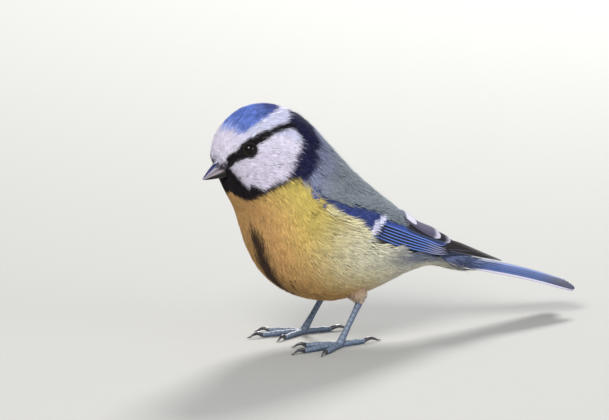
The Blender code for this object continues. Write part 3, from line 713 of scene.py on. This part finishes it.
def coat_piece(name, u, v, slot):
    """The feathers of one region, and longer loose barbs that lie over them."""
    w = np.abs(v)
    length = feather_length(u, v) * RNG.uniform(0.85, 1.15, len(u))
    over = coat_over(u, v) + 0.35 * ramp(u, 2.3, 1.2) * fade(u, 4.4, 1.2) * fade(w, 0, 50)
    rise = np.interp(u, (0, 3, 6, 13), (0.06, 0.12, 0.15, 0.2))[:, None]
    wild = float(np.interp(u.mean(), (0, 6, 9), (0.7, 0.9, 1.1)))
    barbs = 7 if u.mean() < 6.2 else 9
    points, spots = feathers(coat_place, u, v, length, length * np.interp(u, (6, 13), (0.42, 0.46)),
        coat_depth(u), barbs, lie(u, v), rise, over=over, wild=wild, root_sink=wing_bed(u, v))
    seen = [seen_colour(u, v, along_barb(spots, share)) for share in (0.45, 0.6, 0.75)]
    seen = [0.5 * colour + 0.5 * colour[:, barbs // 2:barbs // 2 + 1] for colour in seen]
    blue = (cap_edge(u) > w) * (u > 2.2) * (u < 5.2)
    streak = 0.13 + 0.25 * blue + 0.12 * (u > 6.2) * (w < 80)
    clump = np.sin(v * 1.25 + 2.5 * np.sin(1.7 * u + v / 9)) * (0.6 + 0.4 * np.sin(2.3 * u + v / 4))
    tone = 1 + (0.06 + 0.06 * blue) * RNG.normal(0, 1, len(u)) + (0.06 + 0.26 * blue) * clump
    colours = shade(points, *seen, streak=streak, root_dark=0.85) * tone[:, None, None, None]
    feathered = barb_set(points, colours, unwrap(u, v), ~near_eye(points))
    loose = RNG.random(len(u)) < 0.3
    u, v, w, length, over, rise, blue = (values[loose] for values in (u, v, w, length, over, rise, blue))
    points, spots = feathers(coat_place, u, v, length * np.interp(u, (5, 6.5), (1.1, 1.35)), length * 0.4,
        coat_depth(u) * 0.45, 3, lie(u, v), rise * ruffle(u, v)[:, None],
        barb_width=np.interp(u, (0, 6, 13), (0.08, 0.13, 0.2)), over=over + 0.04, wild=wild * 1.5,
        root_sink=0.3 * wing_bed(u, v))
    seen = seen_colour(u, v, along_barb(spots, 0.35))
    fringe = (w > flank_top(u) - 2) * fade(w, flank_top(u), 9) * ramp(u, 6.6, 0.6)
    tone = 1 + (0.3 * blue * RNG.normal(0.4, 1, len(u)))[:, None, None]
    seen = mix(seen, FRINGE, (fringe * 0.6)[:, None]) * tone
    colours = shade(points, seen, seen, seen, vary=0.1, streak=0.16, root_dark=0.85)
    add_barbs(name, slot, feathered, barb_set(points, colours, unwrap(u, v), ~near_eye(points)))


def seen_colour(u, v, spots):
    """The plumage at places on feathers rooted at (u, v), with frayed borders except at the wing."""
    ragged = np.where((u < 3.2) & (np.abs(v) < 36), 0.16, 0.035)
    station = spots[..., 0] + np.clip(RNG.normal(0, ragged), -0.3, 0.3)[:, None]
    fray = np.where(u < 6, 0.9, 1.3) + 2.2 * (np.abs(v) > 155) * (u > 4.6)
    fray = fray + 2 * (u < 2.6) * (np.abs(v) > 84)
    across = np.abs(spots[..., 1]) + RNG.normal(0, 1, (len(u), 1)) * fray[:, None]
    middle = wing_middle(station)
    below = (np.abs(v) > wing_middle(u))[:, None]
    held = np.where(below, np.maximum(across, middle + 3), np.minimum(across, middle - 3))
    return plumage(station, np.where(station > 6.3, held, across) * np.sign(v)[:, None])


def hang(name, slot, u, v, length, turn, over, tip):
    """Loose barbs that run from the plumage's own colour to a pale tip."""
    points, _ = feathers(coat_place, u, v, length, length * 0.3, 0.5, 4, turn, thick=0.03, over=over,
        wild=1.1, barb_width=np.maximum(0.09, length * 0.03))
    root = plumage(u, np.abs(v))[:, None]
    colours = shade(points, root, mix(root, tip, 0.4), tip, root_dark=0.95)
    add_barbs(name, slot, barb_set(points, colours, unwrap(u, v), ~near_eye(points)))


def make_fringe(label, side):
    """Long pale barbs that sweep over the folded wing's lower edge, and wisps at the front of the cheek."""
    u = RNG.uniform(7.0, 8.7, FRINGE_TUFTS)
    v = (flank_top(u) + RNG.uniform(-0.5, 4, len(u))) * side
    length = RNG.uniform(2.8, 5.4, len(u))
    hang(f"coat_fringe_{label}", "breast_plumage", u, v, length, -27 * side, 0.75, FRINGE)
    u = RNG.uniform(1.1, 2.9, CHEEK_WISPS)
    v = (cheek_low(u) - RNG.uniform(-1, 5, len(u))) * side
    length = RNG.uniform(1.2, 2.4, len(u))
    hang(f"coat_wisps_{label}", "head_plumage", u, v, length, 62 * side, 0.2, CHEEK)


def make_nasal_tufts(label, side):
    """Short bristles that lie forward over the bill's root and nostrils."""
    low, high = sorted((4 * side, 78 * side))
    u, v = scatter(coat_place, (0.35, low), (1.35, high), lambda u, v: 0.42 + 0 * u)
    w = np.abs(v)
    length = np.interp(w, (0, 40, 80), (2.3, 2.0, 1.5)) * RNG.uniform(0.75, 1.15, len(u))
    points, _ = feathers(coat_place, u, v, length, length * 0.4, 0.25, 5, turn=180, rise=0.45, thick=0.04,
        over=0.34, wild=2.6)
    pale = edge(58 - w + RNG.normal(0, 8, len(u)), 12)
    base = mix(BRISTLE, WHITE, pale * edge(u - np.interp(w, (28, 50), (0.1, 0.55)), 0.4))[:, None]
    colours = shade(points, base, base, base, streak=0.2)
    add_barbs(f"coat_nasal_{label}", "head_plumage", barb_set(points, colours, unwrap(u, v)))


def make_coverts(label, side):
    """The small feathers of the folded wing's arm, down to the pale bar, blue above a dark shell."""
    def inside(u, v):
        w = np.abs(v)
        top = mantle_low(u) - np.interp(u, (6.6, 7.4), (1, 6))
        return (w > top) & (w < flank_top(u) + 1) & (u < bar_at(w) - 0.42) & (u > 6.4)

    def spacing(u, v):
        return np.interp(u, (6, 9), (0.5, 0.6))

    low, high = sorted((30 * side, 95 * side))
    u, v = scatter(wing_place, (6.3, low), (9.2, high), spacing, inside)
    length = np.interp(u, (6.3, 8.6), (2.3, 3.6)) * RNG.uniform(0.92, 1.08, len(u))
    length = np.minimum(length, np.maximum((bar_at(np.abs(v)) + 0.1 - u) * 6.2, 1.0))
    over = np.interp(u, (6.4, 7.2, 8.2, 9.2), (0.2, 0.95, 1.4, 1.75))
    points, spots = feathers(wing_place, u, v, length, length * 0.5, 0.35, 9, -4 * side, rise=0.08,
        thick=0.05, over=over, wild=0.5)
    seen = []
    for share in (0.0, 0.6, 1.0):
        t, a = np.moveaxis(np.abs(along_barb(spots, share)), -1, 0)
        blue = mix(COVERT, COVERT_GREY, edge(mantle_low(t) + 1 - a, 8) * 0.5)
        seen.append(mix(blue, BAR, edge(t - (bar_at(a) - 0.1), 0.12)))
    colours = shade(points, *seen, vary=0.07, streak=0.07, root_dark=0.6)
    add_barbs(f"coat_coverts_{label}", "flight_feathers", barb_set(points, colours, unwrap(u, v)))
    make_bar(label, side)


def make_bar(label, side):
    """The white tips of the greater coverts."""
    across = np.linspace(48, 75, BAR_TIPS) + RNG.normal(0, 0.5, BAR_TIPS)
    u, v = bar_at(across) - 0.17 + RNG.normal(0, 0.05, BAR_TIPS), across * side
    points, _ = feathers(wing_place, u, v, RNG.uniform(1.2, 2.3, BAR_TIPS), 1.3, 0.2, 9, rise=0.1,
        thick=0.04, over=1.88, wild=1.4)
    colours = shade(points, BAR * 0.6, BAR, BAR, root_dark=0.3)
    add_barbs(f"coat_bar_{label}", "flight_feathers", barb_set(points, colours, unwrap(u, v)))


# Flight feathers

def wing_shell(side):
    """A dark closed sheet under the coverts, in their blue at half strength: painted shade beneath them."""
    u, share = grid(np.linspace(6.5, 9.4, 30), np.linspace(0, 1, 16))
    high, low = mantle_low(u) - 6, flank_top(u) + 1
    v = (high + (low - high) * share) * side
    crown = np.sin(np.pi * share) ** 0.5 * np.minimum(1, 0.2 + (u - 6.5) * 1.2)
    return *closed_sheet(wing_place(u, v, -0.2 + 1.2 * crown), wing_place(u, v, -0.35)), COVERT * 0.5


def eased(*points):
    """A smooth curve near the points, a cubic in the station."""
    where, value = np.array(points, float).T
    cubic = np.polyfit(where, value, 3)
    return lambda at: np.polyval(cubic, np.clip(at, where[0], where[-1]))


# The outer edges of the secondaries fan out between these two lines and meet near the rump.
lowest_edge = eased((8.8, 67.5), (9.55, 65.4), (9.93, 64.7), (10.44, 65.6), (10.79, 67.8), (11.27, 71.6),
    (11.78, 78.1), (12.21, 83.6), (12.71, 91.2))
highest_edge = eased((8.8, 57), (9.38, 53.7), (9.68, 50.8), (10.08, 50), (10.57, 51), (11.03, 53.6),
    (11.62, 57.7), (12.19, 65.8), (12.55, 73.6))
inner_edge = eased((8.8, 53.5), (9.33, 50), (9.83, 47.3), (10.27, 46.5), (10.63, 47.5), (11.2, 50.5),
    (11.8, 56), (12.3, 64))
TERTIAL_EDGES = (eased((9.0, 46), (10.0, 42), (10.63, 43.5), (11.2, 46), (11.68, 50), (12.1, 54),
    (12.7, 56)), eased((9.0, 36), (9.8, 31.5), (10.33, 31.9), (10.62, 34.5), (11.05, 38.5), (11.68, 45.5),
    (12.1, 48)), eased((9.0, 30), (9.6, 26), (10.1, 27), (10.5, 30), (10.85, 33)))
TERTIAL_SPANS = ((9.3, 12.72), (9.75, 12.1), (9.9, 10.78))
TERTIAL_LOOKS = ((TERTIAL, 0.17, 0.03), (TERTIAL_LILAC, 1.1, 0.11), (TERTIAL_GREY, 1.1, 0.6))
LAYER = 0.07  # from one vane up to the next
SECONDARIES, PRIMARIES = 6, 7
VANE_WIDTH = 3.0
VANE_THICK = 0.12


def vane(side, span, edge_line, width, level, paint, rows=44, cols=12, round_from=0.75, camber=0.03,
        root_rise=0.5):
    """One flight feather of the folded wing.

    edge_line gives the degrees of its outer edge by station; the vane runs from there towards the back.
    paint(along, across, station) gives its colour, across from 0 at the outer edge to 1.
    """
    along, across = grid(1 - (1 - np.linspace(0, 1, rows)) ** 1.3, np.linspace(0, 1, cols) ** 1.25)
    u = span[0] + (span[1] - span[0]) * along
    fall = np.sqrt(np.clip(1 - ((along - round_from) / (1.004 - round_from)).clip(0) ** 2, 0.0006, 1))
    narrow = np.minimum(1.0, 0.6 + 1.6 * along)
    outer = edge_line(u)
    reach = np.linalg.norm(wing_place(u, outer + 1, 0.0) - wing_place(u, outer, 0.0), axis=-1)
    v = (outer - (0.3 + (across * narrow - 0.3) * fall) * width / reach + 0.3 * width / reach) * side
    lift = 0.3 + (level - 0.3) * (root_rise + (1 - root_rise) * ramp(along, 0, 0.35))
    bowed = lift + camber * np.sin(np.pi * np.clip(across * 1.1, 0, 1)) * fall
    shaft = camber * np.exp(-((across - 0.33) / 0.06) ** 2) * (1 - 0.7 * along)
    colours = paint(along, across, u).reshape(-1, 3)
    sheet = closed_sheet(wing_place(u, v, bowed + VANE_THICK + shaft), wing_place(u, v, bowed))
    return *sheet, np.concatenate([colours, colours])


def banded(colour, edge_colour, band, soft=0.25, pale=0.85):
    """A dark vane with a coloured outer edge; band(station) is the edge's share of the width."""
    def paint(along, across, u):
        base = mix(colour, VANE_BROWN, ramp(along, 0.5, 0.5) * 0.5)
        rim = mix(edge_colour, EDGE_PALE, ramp(u, 11.2, 1.3) * pale)
        return mix(base, rim, 1 - edge(across - band(u), soft * band(u)))
    return paint


def tertial(colour, share, tip):
    """A dark vane with a coloured outer share of its width and a pale tip of the given length."""
    def paint(along, across, u):
        ragged = 0.03 * np.sin(across * 40) + 0.05 * np.abs(across - 0.4)
        end = edge(along - 1 + tip + ragged, 0.09) * (1 - edge(across - 0.95, 0.4)) * 0.85
        # The dark line along the outer edge is painted shade where one tertial lies over the next.
        return mix(VANE_DARK, colour, 1 - edge(across - share, 0.15), VANE_DARK,
            (1 - edge(across - 0.05, 0.05)) * 0.8, VANE_DARK,
            0.25 + 0.25 * np.sin(across * 70 + along * 25), WHITE, end)
    return paint


def edge_band(u):
    """The blue edge's share of a secondary's width, narrower where the edges lie close."""
    spacing = (lowest_edge(u) - highest_edge(u)) / (SECONDARIES - 2) * np.interp(u, (9, 12.7), (0.24, 0.12))
    return np.clip(0.42 * spacing / VANE_WIDTH, 0.012, 0.3)


def make_wing(label, side):
    """The vanes of one folded wing, from the longest primary below to the innermost tertial on top."""
    parts = [wing_shell(side)]
    level = 0.42
    for k in range(PRIMARIES):
        share = k / (PRIMARIES - 1)
        tip = (15.75 - 0.48 * k, 62 - 6 * share)
        line = eased((9.0, 67 - 6 * share), (10.2, 65 - 5 * share), (11.6, 73 - 9 * share),
            (12.44, 75 - 9 * share), (13.2, 76 - 10 * share), tip)
        paint = banded(VANE_BROWN, EDGE_LILAC if k in (0, 3) else VANE_DARK, lambda u: 0.04,
            pale=0.4 if k == 0 else 0)
        parts.append(vane(side, (9.0 + 0.1 * k, tip[0]), line, VANE_WIDTH - 0.4, level, paint))
        level += LAYER
    for k in range(SECONDARIES):
        def line(u, share=k / (SECONDARIES - 2)):
            return lowest_edge(u) + (highest_edge(u) - lowest_edge(u)) * share

        paint = banded(VANE_DARK, EDGE_BLUE, edge_band, pale=0.7)
        if k == SECONDARIES - 1:
            line, paint = inner_edge, banded(INNER_BLUE, EDGE_BLUE, lambda u: 0.09, soft=0.6, pale=0.2)
        parts.append(vane(side, (8.95, 12.95 - 0.08 * k), line, VANE_WIDTH, level, paint, rows=40))
        level += LAYER
    for span, line, look in zip(TERTIAL_SPANS, TERTIAL_EDGES, TERTIAL_LOOKS):
        parts.append(vane(side, span, line, 3.5, level, tertial(*look), cols=20, round_from=0.72,
            camber=0.09, root_rise=0.1))
        level += 3 * LAYER
    add_piece(f"wing_vanes_{label}", joined(parts), "vane", (f"wing_{label}",))


# Tail

TAIL_ROOT, TAIL_TIP, TAIL_BOW, TAIL_ROOF = (37.0, -15.6), (76.9, -26.6), 1.5, 0.09
ROOT_SPREAD, TIP_SPREAD = (0.3, 0.62), (1.0, 0.72)  # to the first feather, and on to each next one
TAIL_LENGTHS = (0.97, 0.985, 0.995, 1.0, 0.995, 0.975)  # from the middle pair to the outermost
TAIL_PAIRS = len(TAIL_LENGTHS)


def tail_place(share, y, pair, lift):
    x = TAIL_ROOT[0] + (TAIL_TIP[0] - TAIL_ROOT[0]) * share
    z = TAIL_ROOT[1] + (TAIL_TIP[1] - TAIL_ROOT[1]) * share + TAIL_BOW * 4 * share * (1 - share)
    fall = (0.2 * pair * (0.3 + 0.7 * ramp(share, 0, 0.3)) + TAIL_ROOF * y * y) * (1 - 0.5 * share)
    return np.stack([x, y, z - fall + lift], -1)


def tail_vane(pair, side):
    along, across = grid(1 - (1 - np.linspace(0, 1, 34)) ** 1.3, np.linspace(-1, 1, 11))
    root_y, tip_y = 0.7 * (ROOT_SPREAD[0] + ROOT_SPREAD[1] * pair), TIP_SPREAD[0] + TIP_SPREAD[1] * pair
    fall = np.sqrt(np.maximum(0.0009, 1 - (np.maximum(along - 0.86, 0) / 0.1405) ** 2))
    half = 1.45 * np.minimum(1.0, 0.5 + 1.2 * along) * fall
    y = (root_y + (tip_y - root_y) * along + across * half) * -side
    shaft = 0.09 * np.exp(-((across - 0.3) / 0.12) ** 2)
    share, camber = along * TAIL_LENGTHS[pair], 0.14 * (1 - across**2)
    sheet = closed_sheet(tail_place(share, y, pair, camber + shaft),
        tail_place(share, y, pair, camber - 0.16))
    start, soft = (0.78, 0.16) if pair else (0.3, 0.3)
    colour = mix(TAIL_DARK, TAIL_BLUE, edge(across - start, soft) * 0.9)
    if pair == 0:
        colour = mix(colour, TAIL_BLUE, (1 - edge(across + 0.15, 0.5)) * 0.75)
    if pair == TAIL_PAIRS - 1:
        colour = mix(colour, EDGE_PALE, edge(across - 0.72, 0.2))
    colour = mix(colour, TAIL_DARK, ramp(along, 0.9, 0.1) * 0.4).reshape(-1, 3)
    # The lower sheet has 0.8 of the top's colour: painted shade on the tail's underside.
    return *sheet, np.concatenate([colour, colour * 0.8])


# Bill

BILL_TIP, BILL_LEVEL, BILL_HALF = (-29.3, 10.7), 0.44, 1.95
BILL_GAP = 0.05  # from the middle line to each half


def nostrils(along, angle):
    """1 in the middle of either nostril and 0 away from them both."""
    return [np.exp(-(((along - 0.17) / 0.05) ** 2 + ((angle - (math.pi / 2 + way * 0.72)) / 0.16) ** 2))
        for way in (1, -1)]


def make_bill():
    top, low = np.array(STATIONS[0][:4]).reshape(2, 2)
    root = low + (top - low) * BILL_LEVEL
    tall = float(np.hypot(*(top - low)))
    upward = (top - low) / tall
    line = np.array(BILL_TIP) - root
    steps = 1 - (1 - np.linspace(-0.12, 1, 44)) ** 1.15 / (1.12 ** 1.15) * 1.12
    share, angle = grid(np.clip(steps, -0.12, 0.995), np.linspace(0, math.pi, 29))
    along = np.clip(share, 0, 1)
    half = BILL_HALF * (1 - along) ** 0.85 + 0.10
    y = -half * np.cos(angle) * (1 + 0.05 * np.sin(2 * angle) ** 2)
    for name, sign, length in (("bill_upper", 1, 1.0), ("bill_lower", -1, 0.93)):
        def points_at(share, y, up):
            place = root + line * share[..., None] * length + upward * sign * (BILL_GAP + up)[..., None]
            return np.stack([place[..., 0], y, place[..., 1]], -1)

        # A blunt ridge and two nostrils along the culmen, sides that bulge a little
        fall = (1 - along**1.25) ** 0.95 if sign > 0 else (1 - along) ** 0.8
        up = (tall * (1 - BILL_LEVEL if sign > 0 else BILL_LEVEL) * fall + 0.10) * np.sin(angle) ** 0.9
        side_y = y
        if sign > 0:
            up = up + 0.08 * np.exp(-((angle - math.pi / 2) / 0.22) ** 2) * fall
            for pit in nostrils(share, angle):
                side_y = side_y * (1 - 0.22 * pit)
                up = up * (1 - 0.10 * pit)
        # The flat faces at the mouth line are black: painted shade in the narrow gap between the two halves.
        floor = points_at(share[:, :5], half[:, :5] * np.array([0.8, 0.4, 0, -0.4, -0.8]), 0 * share[:, :5])
        points, faces = closed_tube(np.concatenate([points_at(share, side_y, up), floor], 1))
        colours = np.concatenate([bill_paint(sign, share, angle), np.broadcast_to(BLACK, floor.shape)], 1)
        add_piece(name + "_horn", (points, faces, tube_colours(colours, -1)), "horn", (name,))


def bill_paint(sign, along, angle):
    if sign < 0:
        return mix(BILL_LOW, BILL_SIDE, ramp(along, 0.75, 0.3) * 0.5)
    # On the upper half, the ridge's blue is a painted reflection of the sky on dark horn, and the sides'
    # pale grey is partly a painted highlight.
    side = np.abs(angle - math.pi / 2)
    pits = nostrils(along, angle)
    return mix(BILL_RIDGE_REFLECTION, BILL_SIDE, edge(side - 0.62, 0.4), BILL_EDGE, edge(side - 1.3, 0.25) * 0.8,
        BILL_LOW, fade(along, 0, 0.22) * 0.55, BILL_EDGE, ramp(along, 0.85, 0.15) * 0.6, BLACK, pits[0],
        BLACK, pits[1])


# Eyes

def make_eye(label, side):
    """An eyeball, with a pupil, an iris and a dark rim, and the bare rim of the lids."""
    at, axis = eye_frame(side)
    centre = at - axis * EYE_SINK
    across = np.cross(axis, (0.0, 0.0, 1.0))
    across /= np.linalg.norm(across)
    other = np.cross(axis, across)

    def outward(turn):
        return np.cos(turn)[..., None] * across + np.sin(turn)[..., None] * other

    polar, turn = grid(np.linspace(0.02, math.pi - 0.02, 56), turn_steps(64))
    bulge = EYE_RADIUS + 0.12 * np.exp(-(polar / 0.55) ** 2)
    way = np.cos(polar)[..., None] * axis + np.sin(polar)[..., None] * outward(turn)
    colours = IRIS * (0.75 + 0.25 * np.cos(turn * 23 + 3 * np.sin(turn * 5)))[..., None]
    colours = mix(colours, PUPIL, edge(0.6 - polar, 0.06), EYE_RIM, edge(polar - 0.86, 0.1))
    ball = *closed_tube(centre + bulge[..., None] * way), tube_colours(colours)
    add_piece(f"eyeball_{label}", ball, "eye", (f"eye_{label}",))
    turn, tube = grid(turn_steps(72), turn_steps(12))
    wide = 1.66 + 0.05 * np.cos(2 * turn)
    thick = 0.13 * (1 + 0.2 * np.cos(turn * 24))
    height = np.sqrt(EYE_RADIUS**2 - 1.62**2) + np.sin(tube) * thick
    rings = centre + axis * height[..., None] + outward(turn) * (wide + np.cos(tube) * thick)[..., None]
    points = rings.reshape(-1, 3)
    faces = facing_out(points - points.mean(0), grid_faces(*turn.shape, 2))
    add_piece(f"lid_{label}", (points, faces, LID), "lid")


# Legs

FOOT_X, FOOT_Y, FOOT_TURN = 5.0, 9.0, 8
FLOOR_Z = -34.0
TOES = {  # name: (degrees out from straight ahead, length, claw's length)
    "inner": (-34, 8.6, 3.4), "middle": (0, 11.4, 3.8), "outer": (30, 9.0, 3.4), "hind": (178, 7.6, 5.0)}
TOE_RADIUS, TOE_LEVEL = 0.74, 0.6
SHIN_PLATES = 11
UP = np.array([0, 0, 1.0])


def heel_of(side):
    return np.array([FOOT_X + 7.6, -8.2 * side, FLOOR_Z + 12.2])


def thigh_place(side):
    """The thigh's surface, a cone that narrows to the heel: u from 0 at the top to 1, v degrees round it."""
    top = heel_of(side) + np.array([-6.5, 0.6 * side, 8.5])
    bottom = heel_of(side) + np.array([-0.6, 0, -1.2])
    down = (bottom - top) / np.linalg.norm(bottom - top)
    back = np.cross(down, (0.0, 1.0, 0.0))
    back /= np.linalg.norm(back)
    across = np.cross(back, down)

    def place(u, v, lift):
        u, v, lift = np.broadcast_arrays(np.asarray(u, float), v, lift)
        turn = np.radians(v)
        wide = 1.15 + 3.6 * np.clip(1 - u, 0, 1) ** 0.85 + lift
        return (top + (bottom - top) * u[..., None] + back * (wide * 1.15 * np.cos(turn))[..., None]
            + across * (wide * np.sin(turn) * side)[..., None])
    return place


def thigh_skin(side):
    u, v = grid(np.linspace(0.02, 0.98, 30), turn_steps(36, 360))
    return closed_tube(thigh_place(side)(u, v, -0.7))


def make_thigh_coat(label, side):
    place = thigh_place(side)
    u, v = scatter(place, (0.1, 0), (0.86, 360), lambda u, v: 0.7 + 0 * u)
    length = np.interp(u, (0.1, 0.9), (4.4, 2.0)) * RNG.uniform(0.8, 1.2, len(u))
    points, _ = feathers(place, u, v, length, length * 0.42, 0.6, 7, rise=0.35, thick=0.05, wild=1.5)
    base = mix(OCHRE, VENT, 0.1 + ramp(u, 0.1, 0.7)[:, None] * 0.5)
    spot = 0.46 + u * 0.05, 0.5 + side * 0.38 + (v / 360 - 0.5) * 0.1
    colours = shade(points, base, base, base)
    add_barbs(f"coat_thigh_{label}", "breast_plumage", barb_set(points, colours, spot))


def swept(path, radius, paint, sides=18, squash=1.0):
    """A tube along a path; radius(share, angle) and paint(share, angle), angle 0 on top."""
    way = np.gradient(path, axis=0)
    way /= np.linalg.norm(way, axis=1, keepdims=True)
    aside = np.cross(way, UP)
    slack = np.linalg.norm(aside, axis=1, keepdims=True)
    aside = np.where(slack > 1e-4, aside / np.maximum(slack, 1e-9), (0.0, 1.0, 0.0))
    up = np.cross(aside, way)
    share, angle = grid(np.linspace(0, 1, len(path)), turn_steps(sides))
    out = np.cos(angle)[..., None] * up[:, None] + np.sin(angle)[..., None] * aside[:, None] * squash
    rings = path[:, None] + radius(share, angle)[..., None] * out
    rings[..., 2] = np.maximum(rings[..., 2], FLOOR_Z + 0.01)
    return *closed_tube(rings), tube_colours(paint(share, angle))


def scutes(share, angle, count, depth):
    """The height of overlapping plates along the top: each rises slowly and drops at its end."""
    return depth * (share * count % 1.0) * smooth((np.cos(angle) + 0.35) / 0.9)


def leg_paint(count):
    def paint(share, angle):
        # Each plate is paler towards its raised end and darker in the notch where it starts, on the top
        # only: painted highlight and painted shade that follow the plates' relief.
        saw = (share * count) % 1.0
        top = smooth((np.cos(angle) + 0.3) / 0.8)
        return mix(LEG, LEG_PALE, 0.55 * saw * top) * (1 - 0.45 * (saw < 0.12) * top)[..., None]
    return paint


def shin_radius(share, angle):
    wide = np.interp(share, (0, 0.12, 0.35, 0.65, 0.85, 1.0), (1.05, 0.95, 0.72, 0.70, 0.86, 1.0))
    return wide * (1 + scutes(share, angle, SHIN_PLATES, 0.07))


def make_leg(label, side):
    """The scaled shank and toes in one piece, and the claws."""
    turn = math.radians(FOOT_TURN)
    at = np.array([FOOT_X, -FOOT_Y * side, FLOOR_Z])
    ahead = np.array([-math.cos(turn), -math.sin(turn) * side, 0.0])
    out = np.array([math.sin(turn), -math.cos(turn) * side, 0.0])
    heel = heel_of(side)
    start = heel + np.array([-0.6, 0, 0]) + (heel - (at + 2.3 * UP - ahead * 0.6)) * 0.03
    shin = start + (at + 0.9 * UP - start) * np.linspace(0, 1, 90)[:, None]
    parts = [swept(shin, shin_radius, leg_paint(SHIN_PLATES))]
    claws = {}
    for name, (degrees, length, claw) in TOES.items():
        angle = math.radians(degrees)
        way = ahead * math.cos(angle) + out * math.sin(angle)
        parts.append(toe_mesh(at + TOE_LEVEL * UP, way, length, 9 if length > 10 else 7))
        claws[name] = claw_mesh(at + TOE_LEVEL * UP, way, length, claw)
    replaced = (f"tarsus_{label}", f"foot_{label}")
    add_piece(f"leg_skin_{label}", joined(parts), "scale", replaced)
    for name, claw in claws.items():
        add_piece(f"horn_{name}_{label}", claw, "claw", (f"claw_{name}_{label}",))


def toe_mesh(centre, way, length, plates):
    s = np.linspace(0, 1, 80)
    path = centre + way * (length * s)[:, None] + UP * (0.14 * np.sin(np.pi * s))[:, None]

    def radius(share, angle):
        joints = 1 + 0.09 * np.cos(6 * np.pi * share)
        pads = 0.07 * np.abs(np.sin(3.5 * np.pi * share)) * smooth(-np.cos(angle))
        end = np.sqrt(np.clip(1 - (np.maximum(share - 0.93, 0) / 0.075) ** 2, 0.05, 1))
        relief = joints + scutes(share, angle, plates, 0.09) + pads
        return TOE_RADIUS * (1.05 - 0.22 * share) * relief * end

    return swept(path, radius, leg_paint(plates))


def claw_mesh(centre, way, toe_length, length):
    s = np.linspace(0, 1, 30)
    rise = 0.5 * np.sin(np.pi * np.minimum(1, s * 1.25)) - (TOE_LEVEL - 0.2) * s**2
    path = centre + way * (toe_length - 0.25 + (length + 0.45) * s)[:, None] + UP * rise[:, None]

    def radius(share, angle):
        return (0.52 * (1 - share) ** 0.8 + 0.07) * (1 + 0.1 * np.cos(angle))

    def paint(share, angle):
        return mix(CLAW, CLAW_TIP, ramp(share, 0.5, 0.5) * 0.5)

    return swept(path, radius, paint, sides=14, squash=0.8)


# Stage, lights and camera

CAMERA_TURN, CAMERA_RISE, CAMERA_AWAY = math.radians(-30), math.radians(12), 3.0
VIEW_WIDTH = 609 * 0.25 * MM  # the photo's width at the bird, a quarter of a millimetre for each pixel
SENSOR = 36
LIGHTS = (  # name, place, size, power, colour
    ("key", (-0.55, -0.45, 0.65), 0.45, 9.0, (1.0, 0.97, 0.92)),
    ("fill", (0.35, -0.75, 0.3), 0.6, 2.5, (0.92, 0.96, 1.0)),
    ("rim", (0.45, 0.55, 0.55), 0.25, 10.0, (1.0, 0.98, 0.95)))


def make_stage():
    mesh = bpy.data.meshes.new("floor")
    mesh.from_pydata([(-30, -30, 0), (30, -30, 0), (30, 30, 0), (-30, 30, 0)], [], [(0, 1, 2, 3)])
    floor = bpy.data.objects.new("floor", mesh)
    SCENE.collection.objects.link(floor)
    paint = bpy.data.materials.new("floor_paint")
    paint.use_nodes = True
    set_inputs(paint.node_tree.nodes["Principled BSDF"], Base_Color=(0.36, 0.36, 0.35, 1), Roughness=0.9)
    mesh.materials.append(paint)
    world = bpy.data.worlds.new("studio")
    SCENE.world = world
    world.use_nodes = True
    set_inputs(world.node_tree.nodes["Background"], Color=(0.86, 0.92, 1.0, 1), Strength=0.45)


def aim(name, data, place, way):
    """A lamp or a camera at a place, turned to face along a way."""
    obj = bpy.data.objects.new(name, data)
    obj.location = place
    obj.rotation_mode = "QUATERNION"
    obj.rotation_quaternion = way.to_track_quat("-Z", "Y")
    SCENE.collection.objects.link(obj)
    return obj


def make_camera_and_lights():
    target = Vector(to_row((0.0, 0.0, 0.0)))
    level = math.cos(CAMERA_RISE)
    back = Vector((math.sin(CAMERA_TURN) * level, -math.cos(CAMERA_TURN) * level, math.sin(CAMERA_RISE)))
    data = bpy.data.cameras.new("camera")
    data.sensor_width = SENSOR
    data.lens = SENSOR * CAMERA_AWAY / VIEW_WIDTH
    SCENE.camera = aim("camera", data, target + back * CAMERA_AWAY, -back)
    for name, place, size, power, colour in LIGHTS:
        data = bpy.data.lights.new(name, "AREA")
        data.shape = "DISK"
        data.size = size
        data.energy = power
        data.color = colour
        aim(name, data, place, target - Vector(place))
    SCENE.view_settings.view_transform = "Standard"


def main():
    tinted("skin", 0.9, bump=0.3)
    tinted("coat", 0.8, 1400, 0.06, Specular_IOR_Level=0.12)
    tinted("vane", 0.5, 1600, 0.15, 0.35, 3500, Specular_IOR_Level=0.3)
    tinted("horn", 0.38, 1200, 0.15, 0.12, Specular_IOR_Level=0.4)
    tinted("scale", 0.5, 2500, 0.2, 0.3, 4000)
    tinted("claw", 0.3, 1500, 0.15, Coat_Weight=0.3)
    tinted("eye", 0.05, 3000, 0.1, Specular_IOR_Level=0.2)
    tinted("lid", 0.85, 4000, 0.3, 0.4, 6000)
    make_skin()
    make_coat()
    for make in (make_nasal_tufts, make_fringe, make_coverts, make_thigh_coat, make_wing):
        for label, side in SIDES:
            make(label, side)
    tail = joined([tail_vane(pair, side) for pair in range(TAIL_PAIRS) for _, side in SIDES])
    add_piece("tail_vanes", tail, "vane", ("tail",))
    make_bill()
    for make in (make_eye, make_leg):
        for label, side in SIDES:
            make(label, side)
    make_stage()
    make_camera_and_lights()


main()
